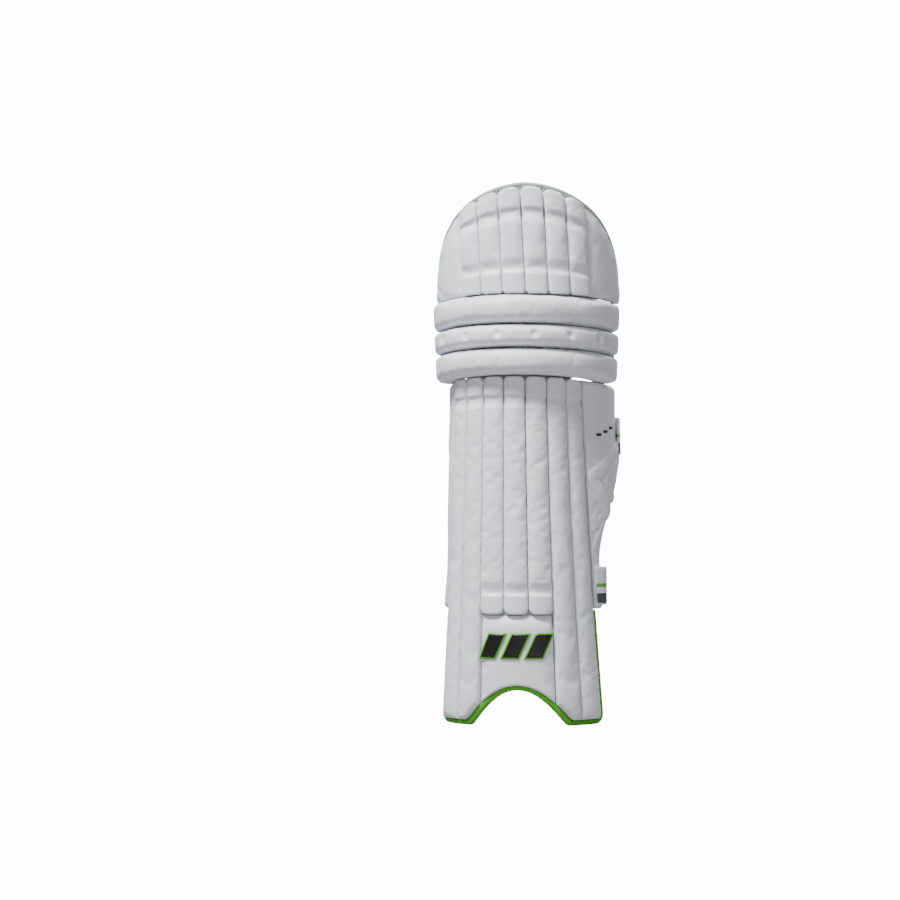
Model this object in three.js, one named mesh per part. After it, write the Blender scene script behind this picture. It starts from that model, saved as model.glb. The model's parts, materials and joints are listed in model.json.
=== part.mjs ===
// A cricket batting pad for the left leg, with real sizes in millimetres. +Z is up the leg,
// -Y is the front that meets the ball, and +X is the wearer's outer side, where the wing is.
import * as THREE from 'three';
import { mergeVertices } from 'three/addons/utils/BufferGeometryUtils.js';

// ---------------------------------------------------------------- driving dimensions
const SHIN_TOP = 451;            // height of the shin facing under the knee rolls
const FACING_HALF = 90;          // half width of the shin facing, along its curve
const FACING_TURN = 60;          // degrees that half width turns through
const SHIN_RADIUS_TOP = 85;      // radius of the backing below the knee
const SHIN_RADIUS_GAIN = 26;     // how much wider that radius is at the foot
const SHIN_LEAN = 4;             // how far the foot stands to the outer side of the knee
const SHIN_FRONT = -86;          // front of the backing, the same at every height
const BACKING_WALL = 3;
const CHANNELS = 7;
const CHANNEL_EDGE = 8;          // height of a shin channel at its seams
const CHANNEL_CROWN = 14;        // and over its middle
const KNOB_CROWN = 24;           // and over the full ends
const SEAM_GAP = 0.5;
const CLEARANCE = 0.4;           // between pieces that are sewn face to face
const CANE_DEPTH = 4;
const CANE_SHARE = 0.6;          // of a channel's width
const INSTEP_TOP = 144;
const INSTEP_THICKNESS = 11.6;
const ARCH_HEIGHT = 46.7;
const ARCH_TURN = 34.5;          // degrees from the middle to where the arch meets the foot
const BASE_REACH = 12;           // how far the foot runs on past the facing
const CORNER_RADIUS = 15;
const BINDING_WIDTH = 7;
const BINDING_DEPTH = 12;
const BINDING_GAP = 1.3;
const SIDE_BOTTOM = 150;         // bottom of the wing and of the inner side
const WING_RADIUS = 106;
const WING_THICKNESS = 12;
const WING_TURN = 38;            // degrees the wing faces round from the front
const WING_WIDTH = [21, 98];     // at the ankle and at the calf
const BAR_HEIGHT = 3;            // of the raised bars on the wing
const INNER_RADIUS = 92;
const INNER_THICKNESS = 10;
const INNER_TURN = [36, 60];     // at the ankle and above it
const INNER_WIDTH = [20, 90];
const CALF_RISE = [205, 330];    // heights between which both sides widen
const CUSHION_THICKNESS = 15;
const CUSHION_TOP = SHIN_TOP - 16;
const KNEE_CENTRE = [6.5, SHIN_FRONT + SHIN_RADIUS_TOP - 3];
const KNEE_RADIUS = SHIN_RADIUS_TOP + 6;
const KNEE_TURN = 92;            // degrees each way that a knee roll wraps
const ROLL_HEIGHTS = [2.5, 37.5, 68, 106].map((rise) => SHIN_TOP + rise);
const ROLL_SAG = [10, 9];       // how far the lowest and highest seams drop at the knee's sides
const ROLL_GAP = 0.6;
const ROLL_CROWN = 30;
const COVER_WALL = 3;
const KNEE_BAND = {
  wide: KNEE_RADIUS - 11,
  deep: KNEE_RADIUS / 2,
  thickness: 13,
  bottom: SHIN_TOP + 4,
  top: SHIN_TOP + 100,
  turn: 88,
};
const FLAP_CENTRE = [7, KNEE_CENTRE[1] + 17];
const FLAP_RADIUS = KNEE_RADIUS + 26;
const FLAP_TURN = 80;
const FLAP_BASE = SHIN_TOP + 106;
const FLAP_RISE = 140;
const FLAP_CHANNELS = 6;
const FLAP_CHANNEL_TURN = 13.6;  // degrees that each flap channel spans
const FLAP_CROWN = 22;           // over a flap channel's round ends
const FLAP_STRIP = 13;           // and between them
const FLAP_SIDE_CROWN = 9;
const STRAP_THICKNESS = 1.6;
const TAIL_LENGTH = 108;
const BAR = 4.5;                 // section of a loop's bars
const LOOP_BARS = 17.5;          // between the two bars of a loop
const FOLD = 4.4;                // radius of a strap's mid-line round a bar

const STRAPS = {
  mid: {
    bottom: SHIN_TOP - 101,
    width: 50,
    plane: SHIN_RADIUS_TOP / 2 - 6.5,
    outerBar: SHIN_RADIUS_TOP + 9,
    tabStart: WING_WIDTH[1] - 20,
  },
  low: {
    bottom: SIDE_BOTTOM + 5,
    width: 50,
    plane: SHIN_RADIUS_TOP / 2 - 64.5,
    outerBar: SHIN_RADIUS_TOP - 1,
    tabStart: WING_WIDTH[0] - 13,
  },
  knee: { bottom: SHIN_TOP + 21, width: 30, plane: KNEE_CENTRE[1] + 12.2, outerBar: KNEE_RADIUS + 2 },
};

// ---------------------------------------------------------------- materials
const material = (color, roughness) => new THREE.MeshStandardMaterial({ color, roughness, metalness: 0 });
const FACE_WHITE = material(0xe9edf1, 0.5);
const LINING_WHITE = material(0xdfe3e6, 0.8);
const CANE_TAN = material(0xc9b07a, 0.7);
const FOAM_CREAM = material(0xe6dfc8, 0.9);
const GREEN = material(0x66b734, 0.5);
const BLACK = material(0x1a1c1c, 0.7);
const PIPING_GREY = material(0xa9bcae, 0.6);
const STRAP_WHITE = material(0xeceff0, 0.8);
const LOOP_WHITE = material(0xf1f2f2, 0.35);

const pad = new THREE.Group();

function add(name, geometry, finish) {
  const mesh = new THREE.Mesh(geometry, finish);
  mesh.name = name;
  pad.add(mesh);
}

// ---------------------------------------------------------------- small maths
const radians = THREE.MathUtils.degToRad;
const lerp = THREE.MathUtils.lerp;
const clamp = THREE.MathUtils.clamp;
const smooth = THREE.MathUtils.smoothstep;

function steps(from, to, count) {
  return Array.from({ length: count + 1 }, (_, i) => lerp(from, to, i / count));
}

// 1 over the middle of a channel and 0 at its seams; a higher power is a squarer channel.
function crown(share, power) {
  return Math.pow(Math.max(0, 1 - Math.pow(Math.abs(2 * share - 1), power)), 1 / power);
}

// Heights along a list of [distance, value] pairs, joined by straight lines.
function profile(pairs, at) {
  if (at <= pairs[0][0]) return pairs[0][1];
  for (let i = 1; i < pairs.length; i += 1) {
    const [x0, y0] = pairs[i - 1];
    const [x1, y1] = pairs[i];
    if (at <= x1) return lerp(y0, y1, (at - x0) / (x1 - x0));
  }
  return pairs[pairs.length - 1][1];
}

// A closed slab: the surface of a box grid whose points, at the listed values of three
// parameters, are placed by a function. The three directions are right-handed.
function slab(across, up, through, place) {
  const lists = [across, up, through];
  const counts = lists.map((list) => list.length - 1);
  const box = new THREE.BoxGeometry(1, 1, 1, ...counts);
  const points = box.attributes.position;
  const value = (axis, at) => lists[axis][Math.round((at + 0.5) * counts[axis])];
  for (let i = 0; i < points.count; i += 1) {
    const point = place(value(0, points.getX(i)), value(1, points.getY(i)), value(2, points.getZ(i)));
    points.setXYZ(i, point.x, point.y, point.z);
  }
  box.deleteAttribute('normal');
  box.deleteAttribute('uv');
  const closed = mergeVertices(box, 1e-4);
  closed.computeVertexNormals();
  return closed;
}

// ---------------------------------------------------------------- the shin's form
function shinFall(z) {
  return Math.pow(Math.max(0, 1 - z / SHIN_TOP), 1.3);
}

function facingPoint(u, z, d) {
  const angle = radians((u / FACING_HALF) * FACING_TURN);
  const radius = SHIN_RADIUS_TOP + SHIN_RADIUS_GAIN * shinFall(z);
  const centre = SHIN_LEAN * shinFall(z);
  return new THREE.Vector3(
    centre + (radius + d) * Math.sin(angle),
    radius + SHIN_FRONT - (radius + d) * Math.cos(angle),
    z,
  );
}

// A side of the pad, w along its outer face from the facing's edge. It curves round to the
// back of the leg, and the inner side runs straight once it has turned past 92 degrees.
function sidePoint(side, w, z, d) {
  const outer = side > 0;
  const thickness = outer ? WING_THICKNESS : INNER_THICKNESS;
  const radius = outer ? WING_RADIUS : INNER_RADIUS;
  const start = radians(outer ? WING_TURN : lerp(...INNER_TURN, smooth(z, 90, 200)));
  const limit = outer ? Math.PI : radians(92);
  const turn = Math.min(w / radius, limit - start);
  const straight = w - turn * radius;
  const angle = start + turn;
  const inside = radius - thickness;
  const edge = facingPoint(side * FACING_HALF, z, 0);
  const x = inside * (Math.sin(angle) - Math.sin(start)) + straight * Math.cos(angle);
  const y = inside * (Math.cos(start) - Math.cos(angle)) + straight * Math.sin(angle);
  return new THREE.Vector3(
    edge.x + side * (x + d * Math.sin(angle)),
    edge.y + y - d * Math.cos(angle),
    z,
  );
}

// The whole shin, from one side to the other: u is measured from the middle of the front.
function shinPoint(u, z, d) {
  if (Math.abs(u) <= FACING_HALF) return facingPoint(u, z, d);
  return sidePoint(Math.sign(u), Math.abs(u) - FACING_HALF, z, d);
}

function sideWidth([ankle, calf], z) {
  const share = clamp((z - CALF_RISE[0]) / (CALF_RISE[1] - CALF_RISE[0]), 0, 1);
  return lerp(ankle, calf, Math.pow(share, 1.8));
}

const BASE_HALF = FACING_HALF + BASE_REACH;
const ARCH_HALF = (ARCH_TURN / FACING_TURN) * FACING_HALF;
const FOOT_CORNER = BASE_HALF - CORNER_RADIUS;

// Height of the pad's bottom edge: the arch over the instep, two flat feet, round corners.
function bottomEdge(u) {
  const at = Math.abs(u);
  if (at < ARCH_HALF) return ARCH_HEIGHT * Math.pow(1 - (at / ARCH_HALF) ** 2, 1.2);
  if (at <= FOOT_CORNER) return 0;
  const over = Math.min(at - FOOT_CORNER, CORNER_RADIUS * 0.99);
  return CORNER_RADIUS - Math.sqrt(CORNER_RADIUS ** 2 - over ** 2);
}

// Where the pieces that the binding frames may start: its width clear of every part of the edge.
function innerEdge(u) {
  const clear = BINDING_WIDTH + BINDING_GAP;
  const heights = steps(-1, 1, 24).map((share) => (
    bottomEdge(u + share * clear) + clear * Math.sqrt(1 - share * share)
  ));
  return Math.max(...heights);
}

// ---------------------------------------------------------------- shin
const BACKING_HALF = FACING_HALF + 4;
const CHANNEL_STEP = (2 * FACING_HALF) / CHANNELS;
const BACKING_STATIONS = [-BACKING_HALF, ...steps(-FACING_HALF, FACING_HALF, 2 * CHANNELS), BACKING_HALF];

function facingTop(u) {
  return SHIN_TOP - ROLL_SAG[0] * (1 - Math.cos(radians((u / FACING_HALF) * FACING_TURN)));
}

function makeBacking() {
  const place = (u, t, d) => shinPoint(u, lerp(innerEdge(u), facingTop(u), t), d);
  add('shin_backing', slab(BACKING_STATIONS, steps(0, 1, 8), [-BACKING_WALL, 0], place), LINING_WHITE);
}

// A channel's height above the backing along its length, from either end.
const NECK = CHANNEL_CROWN - 2;
const KNOB_PROFILE = [[0, 10], [3, 18], [10, KNOB_CROWN], [20, 22], [29, NECK], [44, CHANNEL_CROWN]];
const FOOT_PROFILE = [[0, 9], [5, 12], [16, CHANNEL_CROWN]];
const SHARES = [0, 0.15, 0.19, 0.5, 0.81, 0.85, 1];

function makeShinChannels() {
  for (let k = 0; k < CHANNELS; k += 1) {
    const left = -FACING_HALF + k * CHANNEL_STEP + SEAM_GAP / 2;
    const right = left + CHANNEL_STEP - SEAM_GAP;
    const overInstep = k > 1 && k < CHANNELS - 2;
    const ends = overInstep ? KNOB_PROFILE : FOOT_PROFILE;
    const bottom = (u) => (overInstep ? INSTEP_TOP : innerEdge(u)) + 1;
    const low = bottom((left + right) / 2);
    const length = SHIN_TOP - low;
    const tops = KNOB_PROFILE.map(([at]) => length - at).reverse();
    const between = steps(ends[ends.length - 1][0], tops[0], 4).slice(1, -1);
    const along = [...ends.map(([at]) => at), ...between, ...tops];
    const place = (share, at, q) => {
      const u = lerp(left, right, share);
      const z = lerp(bottom(u), facingTop(u), at / length);
      const height = Math.min(profile(ends, at), profile(KNOB_PROFILE, length - at));
      const pocket = share > 0.17 && share < 0.83 ? CANE_DEPTH + 3 * CLEARANCE : CLEARANCE;
      const edge = Math.min(CHANNEL_EDGE, height - 1);
      const outer = edge + (height - edge) * crown(share, 2.4);
      return facingPoint(u, z, q ? outer : pocket);
    };
    add(`shin_channel_${k + 1}`, slab(SHARES, along, [0, 1], place), FACE_WHITE);

    const margin = (CHANNEL_STEP * (1 - CANE_SHARE)) / 2;
    const caneStations = [left + margin, right - margin];
    const placeCane = (u, t, d) => facingPoint(u, lerp(bottom(u) + 8, facingTop(u) - 8, t), d);
    const cane = slab(caneStations, steps(0, 1, 6), [2 * CLEARANCE, 2 * CLEARANCE + CANE_DEPTH], placeCane);
    add(`shin_cane_${k + 1}`, cane, CANE_TAN);
  }
}

function makeInstep() {
  const half = 1.5 * CHANNEL_STEP - SEAM_GAP / 2;
  const face = (share, t) => {
    const puff = profile([[0, 0.75], [0.5, 0.85], [0.86, 1], [1, 0.55]], t);
    return CLEARANCE + INSTEP_THICKNESS * puff * (0.55 + 0.45 * crown(share, 4));
  };
  const place = (u, t, q) => {
    const z = lerp(innerEdge(u), INSTEP_TOP, t);
    return facingPoint(u, z, q ? face((u + half) / (2 * half), t) : CLEARANCE);
  };
  add('instep_panel', slab(steps(-half, half, 10), [0, 0.3, 0.6, 0.86, 1], [0, 1], place), FACE_WHITE);

  const back = -BACKING_WALL - CLEARANCE;
  const placeLining = (u, t, d) => shinPoint(u, lerp(innerEdge(u), SIDE_BOTTOM - 2, t), d);
  add('instep_lining', slab(BACKING_STATIONS, steps(0, 1, 4), [back - 5, back], placeLining), BLACK);
}

// The binding's outer line, from the top of one ankle side to the top of the other.
function bindingLine() {
  const corner = steps(0, 90, 4).map((turn) => {
    const angle = radians(turn);
    return [FOOT_CORNER + CORNER_RADIUS * Math.cos(angle), CORNER_RADIUS * (1 - Math.sin(angle))];
  });
  const arch = steps(ARCH_HALF, 0, 10).map((u) => [u, bottomEdge(u)]);
  const right = [[BASE_HALF, SIDE_BOTTOM - 1], [BASE_HALF, 100], [BASE_HALF, 55], ...corner, ...arch];
  const left = right.slice(0, -1).reverse().map(([u, z]) => [-u, z]);
  return [...right, ...left].reverse().map(([u, z]) => new THREE.Vector2(u, z));
}

function makeBinding() {
  const line = bindingLine();
  const inward = line.map((point, i) => {
    const before = line[Math.max(0, i - 1)];
    const after = line[Math.min(line.length - 1, i + 1)];
    const along = after.clone().sub(before).normalize();
    return new THREE.Vector2(-along.y, along.x);
  });
  const place = (i, t, d) => {
    const point = line[i].clone().addScaledVector(inward[i], t * BINDING_WIDTH);
    return shinPoint(point.x, Math.max(0, point.y), d);
  };
  const stations = line.map((_, i) => i);
  const depths = [-BINDING_DEPTH / 2, BINDING_DEPTH / 2];
  add('instep_binding', slab(stations, [0, 1], depths, place), GREEN);
}

// ---------------------------------------------------------------- the two sides
// Height of a side's top edge, which follows the lowest roll round the knee.
function sideTop(side, w) {
  const point = sidePoint(side, w, SHIN_TOP, 0);
  const turn = Math.atan2(side * (point.x - KNEE_CENTRE[0]), KNEE_CENTRE[1] - point.y);
  return SHIN_TOP + 1.5 - ROLL_SAG[0] * (1 - Math.cos(turn));
}

function sidePanel(side, widths, thickness) {
  const reach = (t) => sideWidth(widths, lerp(SIDE_BOTTOM, SHIN_TOP - 11, t));
  const place = (share, t, q) => {
    const w = lerp(5, reach(t), share);
    const z = lerp(SIDE_BOTTOM, sideTop(side, w), t);
    const outer = lerp(thickness, thickness - 4, Math.pow(share, 6));
    return sidePoint(side, w, z, q ? outer : 0);
  };
  const across = steps(0, 1, 8);
  const up = [0, 0.19, 0.3, 0.4, 0.5, 0.6, 0.72, 0.86, 1];
  if (side > 0) return slab(across, up, [0, 1], place);
  return slab(across, up, [0, 1], (share, t, q) => place(1 - share, t, q));
}

// A raised bar on the wing between two lines, each given by two (w, z) points.
function wingBar(upper, lower) {
  const place = (share, t, d) => {
    const low = lower[0].map((value, i) => lerp(value, lower[1][i], share));
    const high = upper[0].map((value, i) => lerp(value, upper[1][i], share));
    return sidePoint(1, lerp(low[0], high[0], t), lerp(low[1], high[1], t), d);
  };
  const face = WING_THICKNESS + 2 * CLEARANCE;
  return slab(steps(0, 1, 6), [0, 0.5, 1], [face, face + BAR_HEIGHT], place);
}

function makeSides() {
  add('wing_panel', sidePanel(1, WING_WIDTH, WING_THICKNESS), FACE_WHITE);
  add('inner_side_panel', sidePanel(-1, INNER_WIDTH, INNER_THICKNESS), FACE_WHITE);
  add('wing_chevron_upper', wingBar([[10, 341], [70, 367]], [[25, 322], [70, 345]]), FACE_WHITE);
  add('wing_chevron_lower', wingBar([[17, 315], [52, 281]], [[6, 301], [43, 263]]), FACE_WHITE);
}

// ---------------------------------------------------------------- calf cushions
const CUSHION_TURN = 24;         // degrees from the middle to the cushions' inner edges
const CUSHION_INNER = (CUSHION_TURN / FACING_TURN) * FACING_HALF;
const CUSHION_SHORT = 34;        // how far the cushions stop before the sides' rear edges

// A flat board on the inside of the pad, laid across from the backing to the side.
function cushionEnds(side, z) {
  const widths = side > 0 ? WING_WIDTH : INNER_WIDTH;
  const reach = FACING_HALF + sideWidth(widths, z) - CUSHION_SHORT;
  const near = shinPoint(side * CUSHION_INNER, z, -BACKING_WALL - 1.6);
  const far = shinPoint(side * reach, z, -BACKING_WALL - 1.6);
  return [near, far];
}

function makeCushion(side) {
  const place = (share, z, q) => {
    const [near, far] = cushionEnds(side, z);
    const across = side > 0 ? share : 1 - share;
    const base = near.clone().lerp(far, across);
    const along = far.clone().sub(near).setZ(0).normalize();
    const back = new THREE.Vector3(-side * along.y, side * along.x, 0);
    const full = profile([[0, 0.35], [12, 1]], Math.min(z - SIDE_BOTTOM, CUSHION_TOP - z));
    const depth = CUSHION_THICKNESS * full * (0.35 + 0.65 * crown(across, 4));
    return base.addScaledVector(back, q ? 0 : depth);
  };
  const ends = [
    SIDE_BOTTOM + 1, SIDE_BOTTOM + 12, ...steps(...CALF_RISE, 5), CUSHION_TOP - 40, CUSHION_TOP - 12, CUSHION_TOP,
  ];
  return slab([0, 0.08, 0.25, 0.5, 0.75, 0.92, 1], ends, [0, 1], place);
}

// A round cord sewn along a line of points.
function cordAlong(points, radius, sides, count) {
  const section = new THREE.Shape(steps(0, 360, sides).slice(0, -1).map((turn) => (
    new THREE.Vector2(radius * Math.cos(radians(turn)), radius * Math.sin(radians(turn)))
  )));
  const path = new THREE.CatmullRomCurve3(points);
  const cord = new THREE.ExtrudeGeometry(section, { steps: count, extrudePath: path });
  cord.deleteAttribute('normal');
  cord.deleteAttribute('uv');
  return mergeVertices(cord, 1e-4);
}

function makeCalf() {
  add('calf_cushion_inner', makeCushion(-1), LINING_WHITE);
  add('calf_cushion_outer', makeCushion(1), LINING_WHITE);
  const line = steps(SIDE_BOTTOM + 4, CUSHION_TOP - 4, 24).map((z) => {
    const reach = FACING_HALF + sideWidth(WING_WIDTH, z) - CUSHION_SHORT + 5;
    const onBacking = 1 - smooth(reach, BACKING_HALF + 1, BACKING_HALF + 8);
    return shinPoint(reach, z, -2.6 - BACKING_WALL * onBacking);
  });
  add('cushion_piping', cordAlong(line, 1.8, 6, 36), BLACK);

  const half = CUSHION_INNER - 7;
  const front = -BACKING_WALL - 1.2;
  const place = (u, z, d) => facingPoint(u, z, d);
  const strip = slab(steps(-half, half, 6), steps(SIDE_BOTTOM + 1, CUSHION_TOP, 6), [front - 4, front], place);
  add('shin_strip', strip, LINING_WHITE);
}

// ---------------------------------------------------------------- knee rolls
function kneePoint(angle, z, d) {
  const turn = radians(angle);
  const radius = KNEE_RADIUS + (z - ROLL_HEIGHTS[0] - 55) / 26 + d;
  const sag = lerp(...ROLL_SAG, clamp((z - ROLL_HEIGHTS[0]) / (ROLL_HEIGHTS[3] - ROLL_HEIGHTS[0]), 0, 1));
  return new THREE.Vector3(
    KNEE_CENTRE[0] + radius * Math.sin(turn),
    KNEE_CENTRE[1] - radius * Math.cos(turn),
    z - sag * (1 - Math.cos(turn)),
  );
}

const KNEE_STATIONS = steps(-KNEE_TURN, KNEE_TURN, 16);
// Section of a roll's cover: distance out from the knee, and share of the half height.
const COVER_OUTER = [[0, -1], [9, -1], [20, -0.84], [27.5, -0.46], [30, 0], [27.5, 0.46], [20, 0.84], [9, 1], [0, 1]];
const FOAM_SECTION = [[-0.66, 15], [-0.36, 21.5], [0, 24.5], [0.36, 21.5], [0.66, 15]];

function makeRolls() {
  ['lower', 'middle', 'upper'].forEach((name, i) => {
    const bottom = ROLL_HEIGHTS[i] + ROLL_GAP / 2;
    const top = ROLL_HEIGHTS[i + 1] - ROLL_GAP / 2;
    const middle = (bottom + top) / 2;
    const half = (top - bottom) / 2;
    const scale = ROLL_CROWN / 30;
    const outer = COVER_OUTER.map(([d, share]) => new THREE.Vector2(d * scale, share * half));
    const inner = outer.map((point, k) => {
      const before = outer[Math.max(0, k - 1)];
      const after = outer[Math.min(outer.length - 1, k + 1)];
      const along = after.clone().sub(before).normalize();
      return point.clone().add(new THREE.Vector2(-along.y, along.x).multiplyScalar(COVER_WALL));
    });
    const place = (angle, k, q) => {
      const end = Math.abs(angle) > KNEE_TURN - 1 ? 0.8 : 1;
      const point = (q ? outer : inner)[k];
      return kneePoint(angle, middle + point.y, point.x * end);
    };
    const cover = slab(KNEE_STATIONS, outer.map((_, k) => k), [0, 1], place);
    add(`${name}_roll_cover`, cover, FACE_WHITE);

    const placeFoam = (angle, k, q) => {
      const [share, height] = FOAM_SECTION[k];
      return kneePoint(angle, middle + share * half, q ? height * scale : 1);
    };
    const foam = slab(KNEE_STATIONS.slice(1, -1), FOAM_SECTION.map((_, k) => k), [0, 1], placeFoam);
    add(`${name}_roll_foam`, foam, FOAM_CREAM);
  });
}

function kneeBandPoint(angle, z, d) {
  const turn = radians(angle);
  return new THREE.Vector3(
    KNEE_CENTRE[0] + (KNEE_BAND.wide + d) * Math.sin(turn),
    KNEE_CENTRE[1] - (KNEE_BAND.deep + d) * Math.cos(turn),
    z - 4 * (1 - Math.cos(turn)),
  );
}

function makeKneeBand() {
  const half = KNEE_BAND.thickness / 2;
  const edges = [[0, 0.3], [6, 0.85], [16, 1]];
  const place = (angle, z, q) => {
    const full = profile(edges, Math.min(z - KNEE_BAND.bottom, KNEE_BAND.top - z));
    return kneeBandPoint(angle, z, (q ? 1 : -1) * half * full);
  };
  const { bottom, top, turn } = KNEE_BAND;
  const up = [bottom, bottom + 6, bottom + 16, top - 16, top - 6, top];
  add('knee_cushion', slab(steps(-turn, turn, 12), up, [0, 1], place), LINING_WHITE);
}

// ---------------------------------------------------------------- top flap
function flapPoint(angle, z, d) {
  const turn = radians(angle);
  const radius = FLAP_RADIUS + d;
  return new THREE.Vector3(FLAP_CENTRE[0] + radius * Math.sin(turn), FLAP_CENTRE[1] - radius * Math.cos(turn), z);
}

const FLAP_MIDDLE = 4;           // degrees; the flap is cut a little to the outer side
const FLAP_ENDS = [FLAP_MIDDLE - FLAP_TURN, FLAP_MIDDLE + FLAP_TURN];
const FLAP_RIM = 3;              // from the rim to the ends of the channels
const PIPING_RADIUS = 2;

function flapTop(angle) {
  const share = Math.min(Math.abs(angle - FLAP_MIDDLE) / FLAP_TURN, 0.985);
  return FLAP_BASE + FLAP_RISE * Math.pow(1 - Math.pow(share, 1.75), 0.6);
}

function flapBottom(angle) {
  return FLAP_BASE - ROLL_SAG[1] * (1 - Math.cos(radians(angle)));
}

// A point on the flap at a share of the height between its base and its rim.
function flapShare(angle, share, d, rim) {
  return flapPoint(angle, lerp(flapBottom(angle) + 0.5, flapTop(angle) - rim, share), d);
}

function channelEdge(k, share) {
  return lerp(4.5, 1, share) + (k - FLAP_CHANNELS / 2) * FLAP_CHANNEL_TURN;
}

function makeFlap() {
  const around = steps(...FLAP_ENDS, 20);
  const up = [0, 0.3, 0.6, 0.85, 1];
  add('flap_backing', slab(around, up, [-2.4, 0], (a, t, d) => flapShare(a, t, d, 0)), LINING_WHITE);
  add('flap_lining', slab(around, up, [-5, -2.8], (a, t, d) => flapShare(a, t, d, 3)), LINING_WHITE);

  const neck = FLAP_STRIP - 1;
  const knobs = [[0, 8], [0.03, 16], [0.09, FLAP_CROWN], [0.16, 20], [0.23, neck], [0.34, FLAP_STRIP]];
  const shares = [...knobs.map(([at]) => at), ...knobs.map(([at]) => 1 - at).reverse()];
  const gap = SEAM_GAP / 2 / radians(FLAP_RADIUS);
  for (let k = 0; k < FLAP_CHANNELS; k += 1) {
    const place = (share, t, q) => {
      const angle = lerp(channelEdge(k, t) + gap, channelEdge(k + 1, t) - gap, share);
      const height = Math.min(profile(knobs, t), profile(knobs, 1 - t));
      const edge = Math.min(CHANNEL_EDGE, height - 1);
      return flapShare(angle, t, q ? edge + (height - edge) * crown(share, 2.4) : CLEARANCE, FLAP_RIM);
    };
    const channel = slab([0, 0.14, 0.32, 0.5, 0.68, 0.86, 1], shares, [0, 1], place);
    add(`flap_channel_${k + 1}`, channel, FACE_WHITE);
  }

  [['flap_side_inner', FLAP_ENDS[0], 0], ['flap_side_outer', FLAP_ENDS[1], FLAP_CHANNELS]].forEach(([name, end, k]) => {
    const place = (share, t, q) => {
      const near = channelEdge(k, t) + (k ? gap : -gap);
      const angle = k ? lerp(near, end, share) : lerp(end, near, share);
      const full = crown(t, 3) * crown(share, 3) * (1 - 0.3 * (k ? share : 1 - share));
      return flapShare(angle, t, q ? 3 + (FLAP_SIDE_CROWN - 3) * full : CLEARANCE, FLAP_RIM);
    };
    const side = slab([0, 0.1, 0.3, 0.5, 0.7, 0.9, 1], [0, 0.08, 0.3, 0.5, 0.7, 0.92, 1], [0, 1], place);
    add(name, side, FACE_WHITE);
  });

  const rim = steps(FLAP_ENDS[0] + 2, FLAP_ENDS[1] - 2, 24).map((angle) => {
    const rise = (flapTop(angle + 0.5) - flapTop(angle - 0.5)) / (FLAP_RADIUS * radians(1));
    const off = (PIPING_RADIUS + 1.1) / Math.sqrt(1 + rise * rise);
    return flapPoint(angle - (off * rise) / (FLAP_RADIUS * radians(1)), flapTop(angle) + off, 1);
  });
  add('flap_piping', cordAlong(rim, PIPING_RADIUS, 6, 44), PIPING_GREY);
}

// ---------------------------------------------------------------- gussets at the knee seams
const GUSSET_AROUND = steps(-76, 76, 14);

function makeGussets() {
  const around = steps(-56, 56, 10);
  const under = (angle, z, d) => facingPoint((angle / FACING_TURN) * FACING_HALF, z - ROLL_SAG[0] * (1 - Math.cos(radians(angle))), d);
  const placeLowest = (angle, z, d) => (
    z < KNEE_BAND.bottom ? under(angle, z, d - BACKING_WALL - 0.2) : kneePoint(angle, z, d)
  );
  const lowest = [-14, 1.6, 7.5, 15].map((rise) => SHIN_TOP + rise);
  add('knee_gusset_1', slab(around, lowest, [-2.4, -0.5], placeLowest), LINING_WHITE);
  [ROLL_HEIGHTS[1], ROLL_HEIGHTS[2]].forEach((seam, i) => {
    const gusset = slab(GUSSET_AROUND, [seam - 8, seam + 8], [-2.4, -0.5], kneePoint);
    add(`knee_gusset_${i + 2}`, gusset, LINING_WHITE);
  });
  const seam = ROLL_HEIGHTS[3];
  const placeTop = (angle, z, d) => {
    if (z < seam + 2) return kneePoint(angle, z, d);
    return flapPoint(angle, z - FLAP_BASE + flapBottom(angle), d - 5.6);
  };
  const rows = [seam - 13, seam - 6, seam + 1.5, seam + 13];
  add('knee_gusset_4', slab(GUSSET_AROUND, rows, [-2.4, -0.5], placeTop), LINING_WHITE);
}

// ---------------------------------------------------------------- straps and loops
// A strap of even thickness on edge: a line of plan points, which may lean with height.
function ribbon(lineAt, bottom, width, rows = 1) {
  const count = lineAt(bottom).length;
  const place = (i, z, q) => {
    const line = lineAt(z);
    const before = line[Math.max(0, i - 1)];
    const after = line[Math.min(count - 1, i + 1)];
    const along = after.clone().sub(before).normalize();
    const side = (q - 0.5) * STRAP_THICKNESS;
    return new THREE.Vector3(line[i].x + along.y * side, line[i].y - along.x * side, z);
  };
  return slab(steps(0, count - 1, count - 1), steps(bottom, bottom + width, rows), [0, 1], place);
}

const flat = (point) => new THREE.Vector2(point.x, point.y);
const at = (x, y) => new THREE.Vector2(x, y);

function arc(x, y, radius, from, to, count) {
  return steps(from, to, count).map((turn) => (
    at(x + radius * Math.cos(radians(turn)), y + radius * Math.sin(radians(turn)))
  ));
}

// The fold round the inner bar, where every strap comes to its loop from the inner side.
function foldIn({ plane, outerBar }) {
  return arc(outerBar - LOOP_BARS, plane, FOLD, -90, 90, 6);
}

// The fold of the short tab round the outer bar, with its sewn-down end.
function foldOut({ plane, outerBar }) {
  return [...arc(outerBar, plane, FOLD, 90, 270, 6), at(outerBar + 12, plane - FOLD)];
}

function makeTail({ plane, outerBar, bottom, width }) {
  const bar = outerBar - LOOP_BARS;
  const line = [
    at(bar - 1.5, plane + FOLD), at(bar - 6, plane + 3.2), at(bar - 12, plane + 0.2),
    at(bar - 18, plane - 1.9), at(bar - 24, plane - 2.3), at(bar - TAIL_LENGTH, plane - 2.3),
  ];
  return ribbon(() => line, bottom, width);
}

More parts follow.
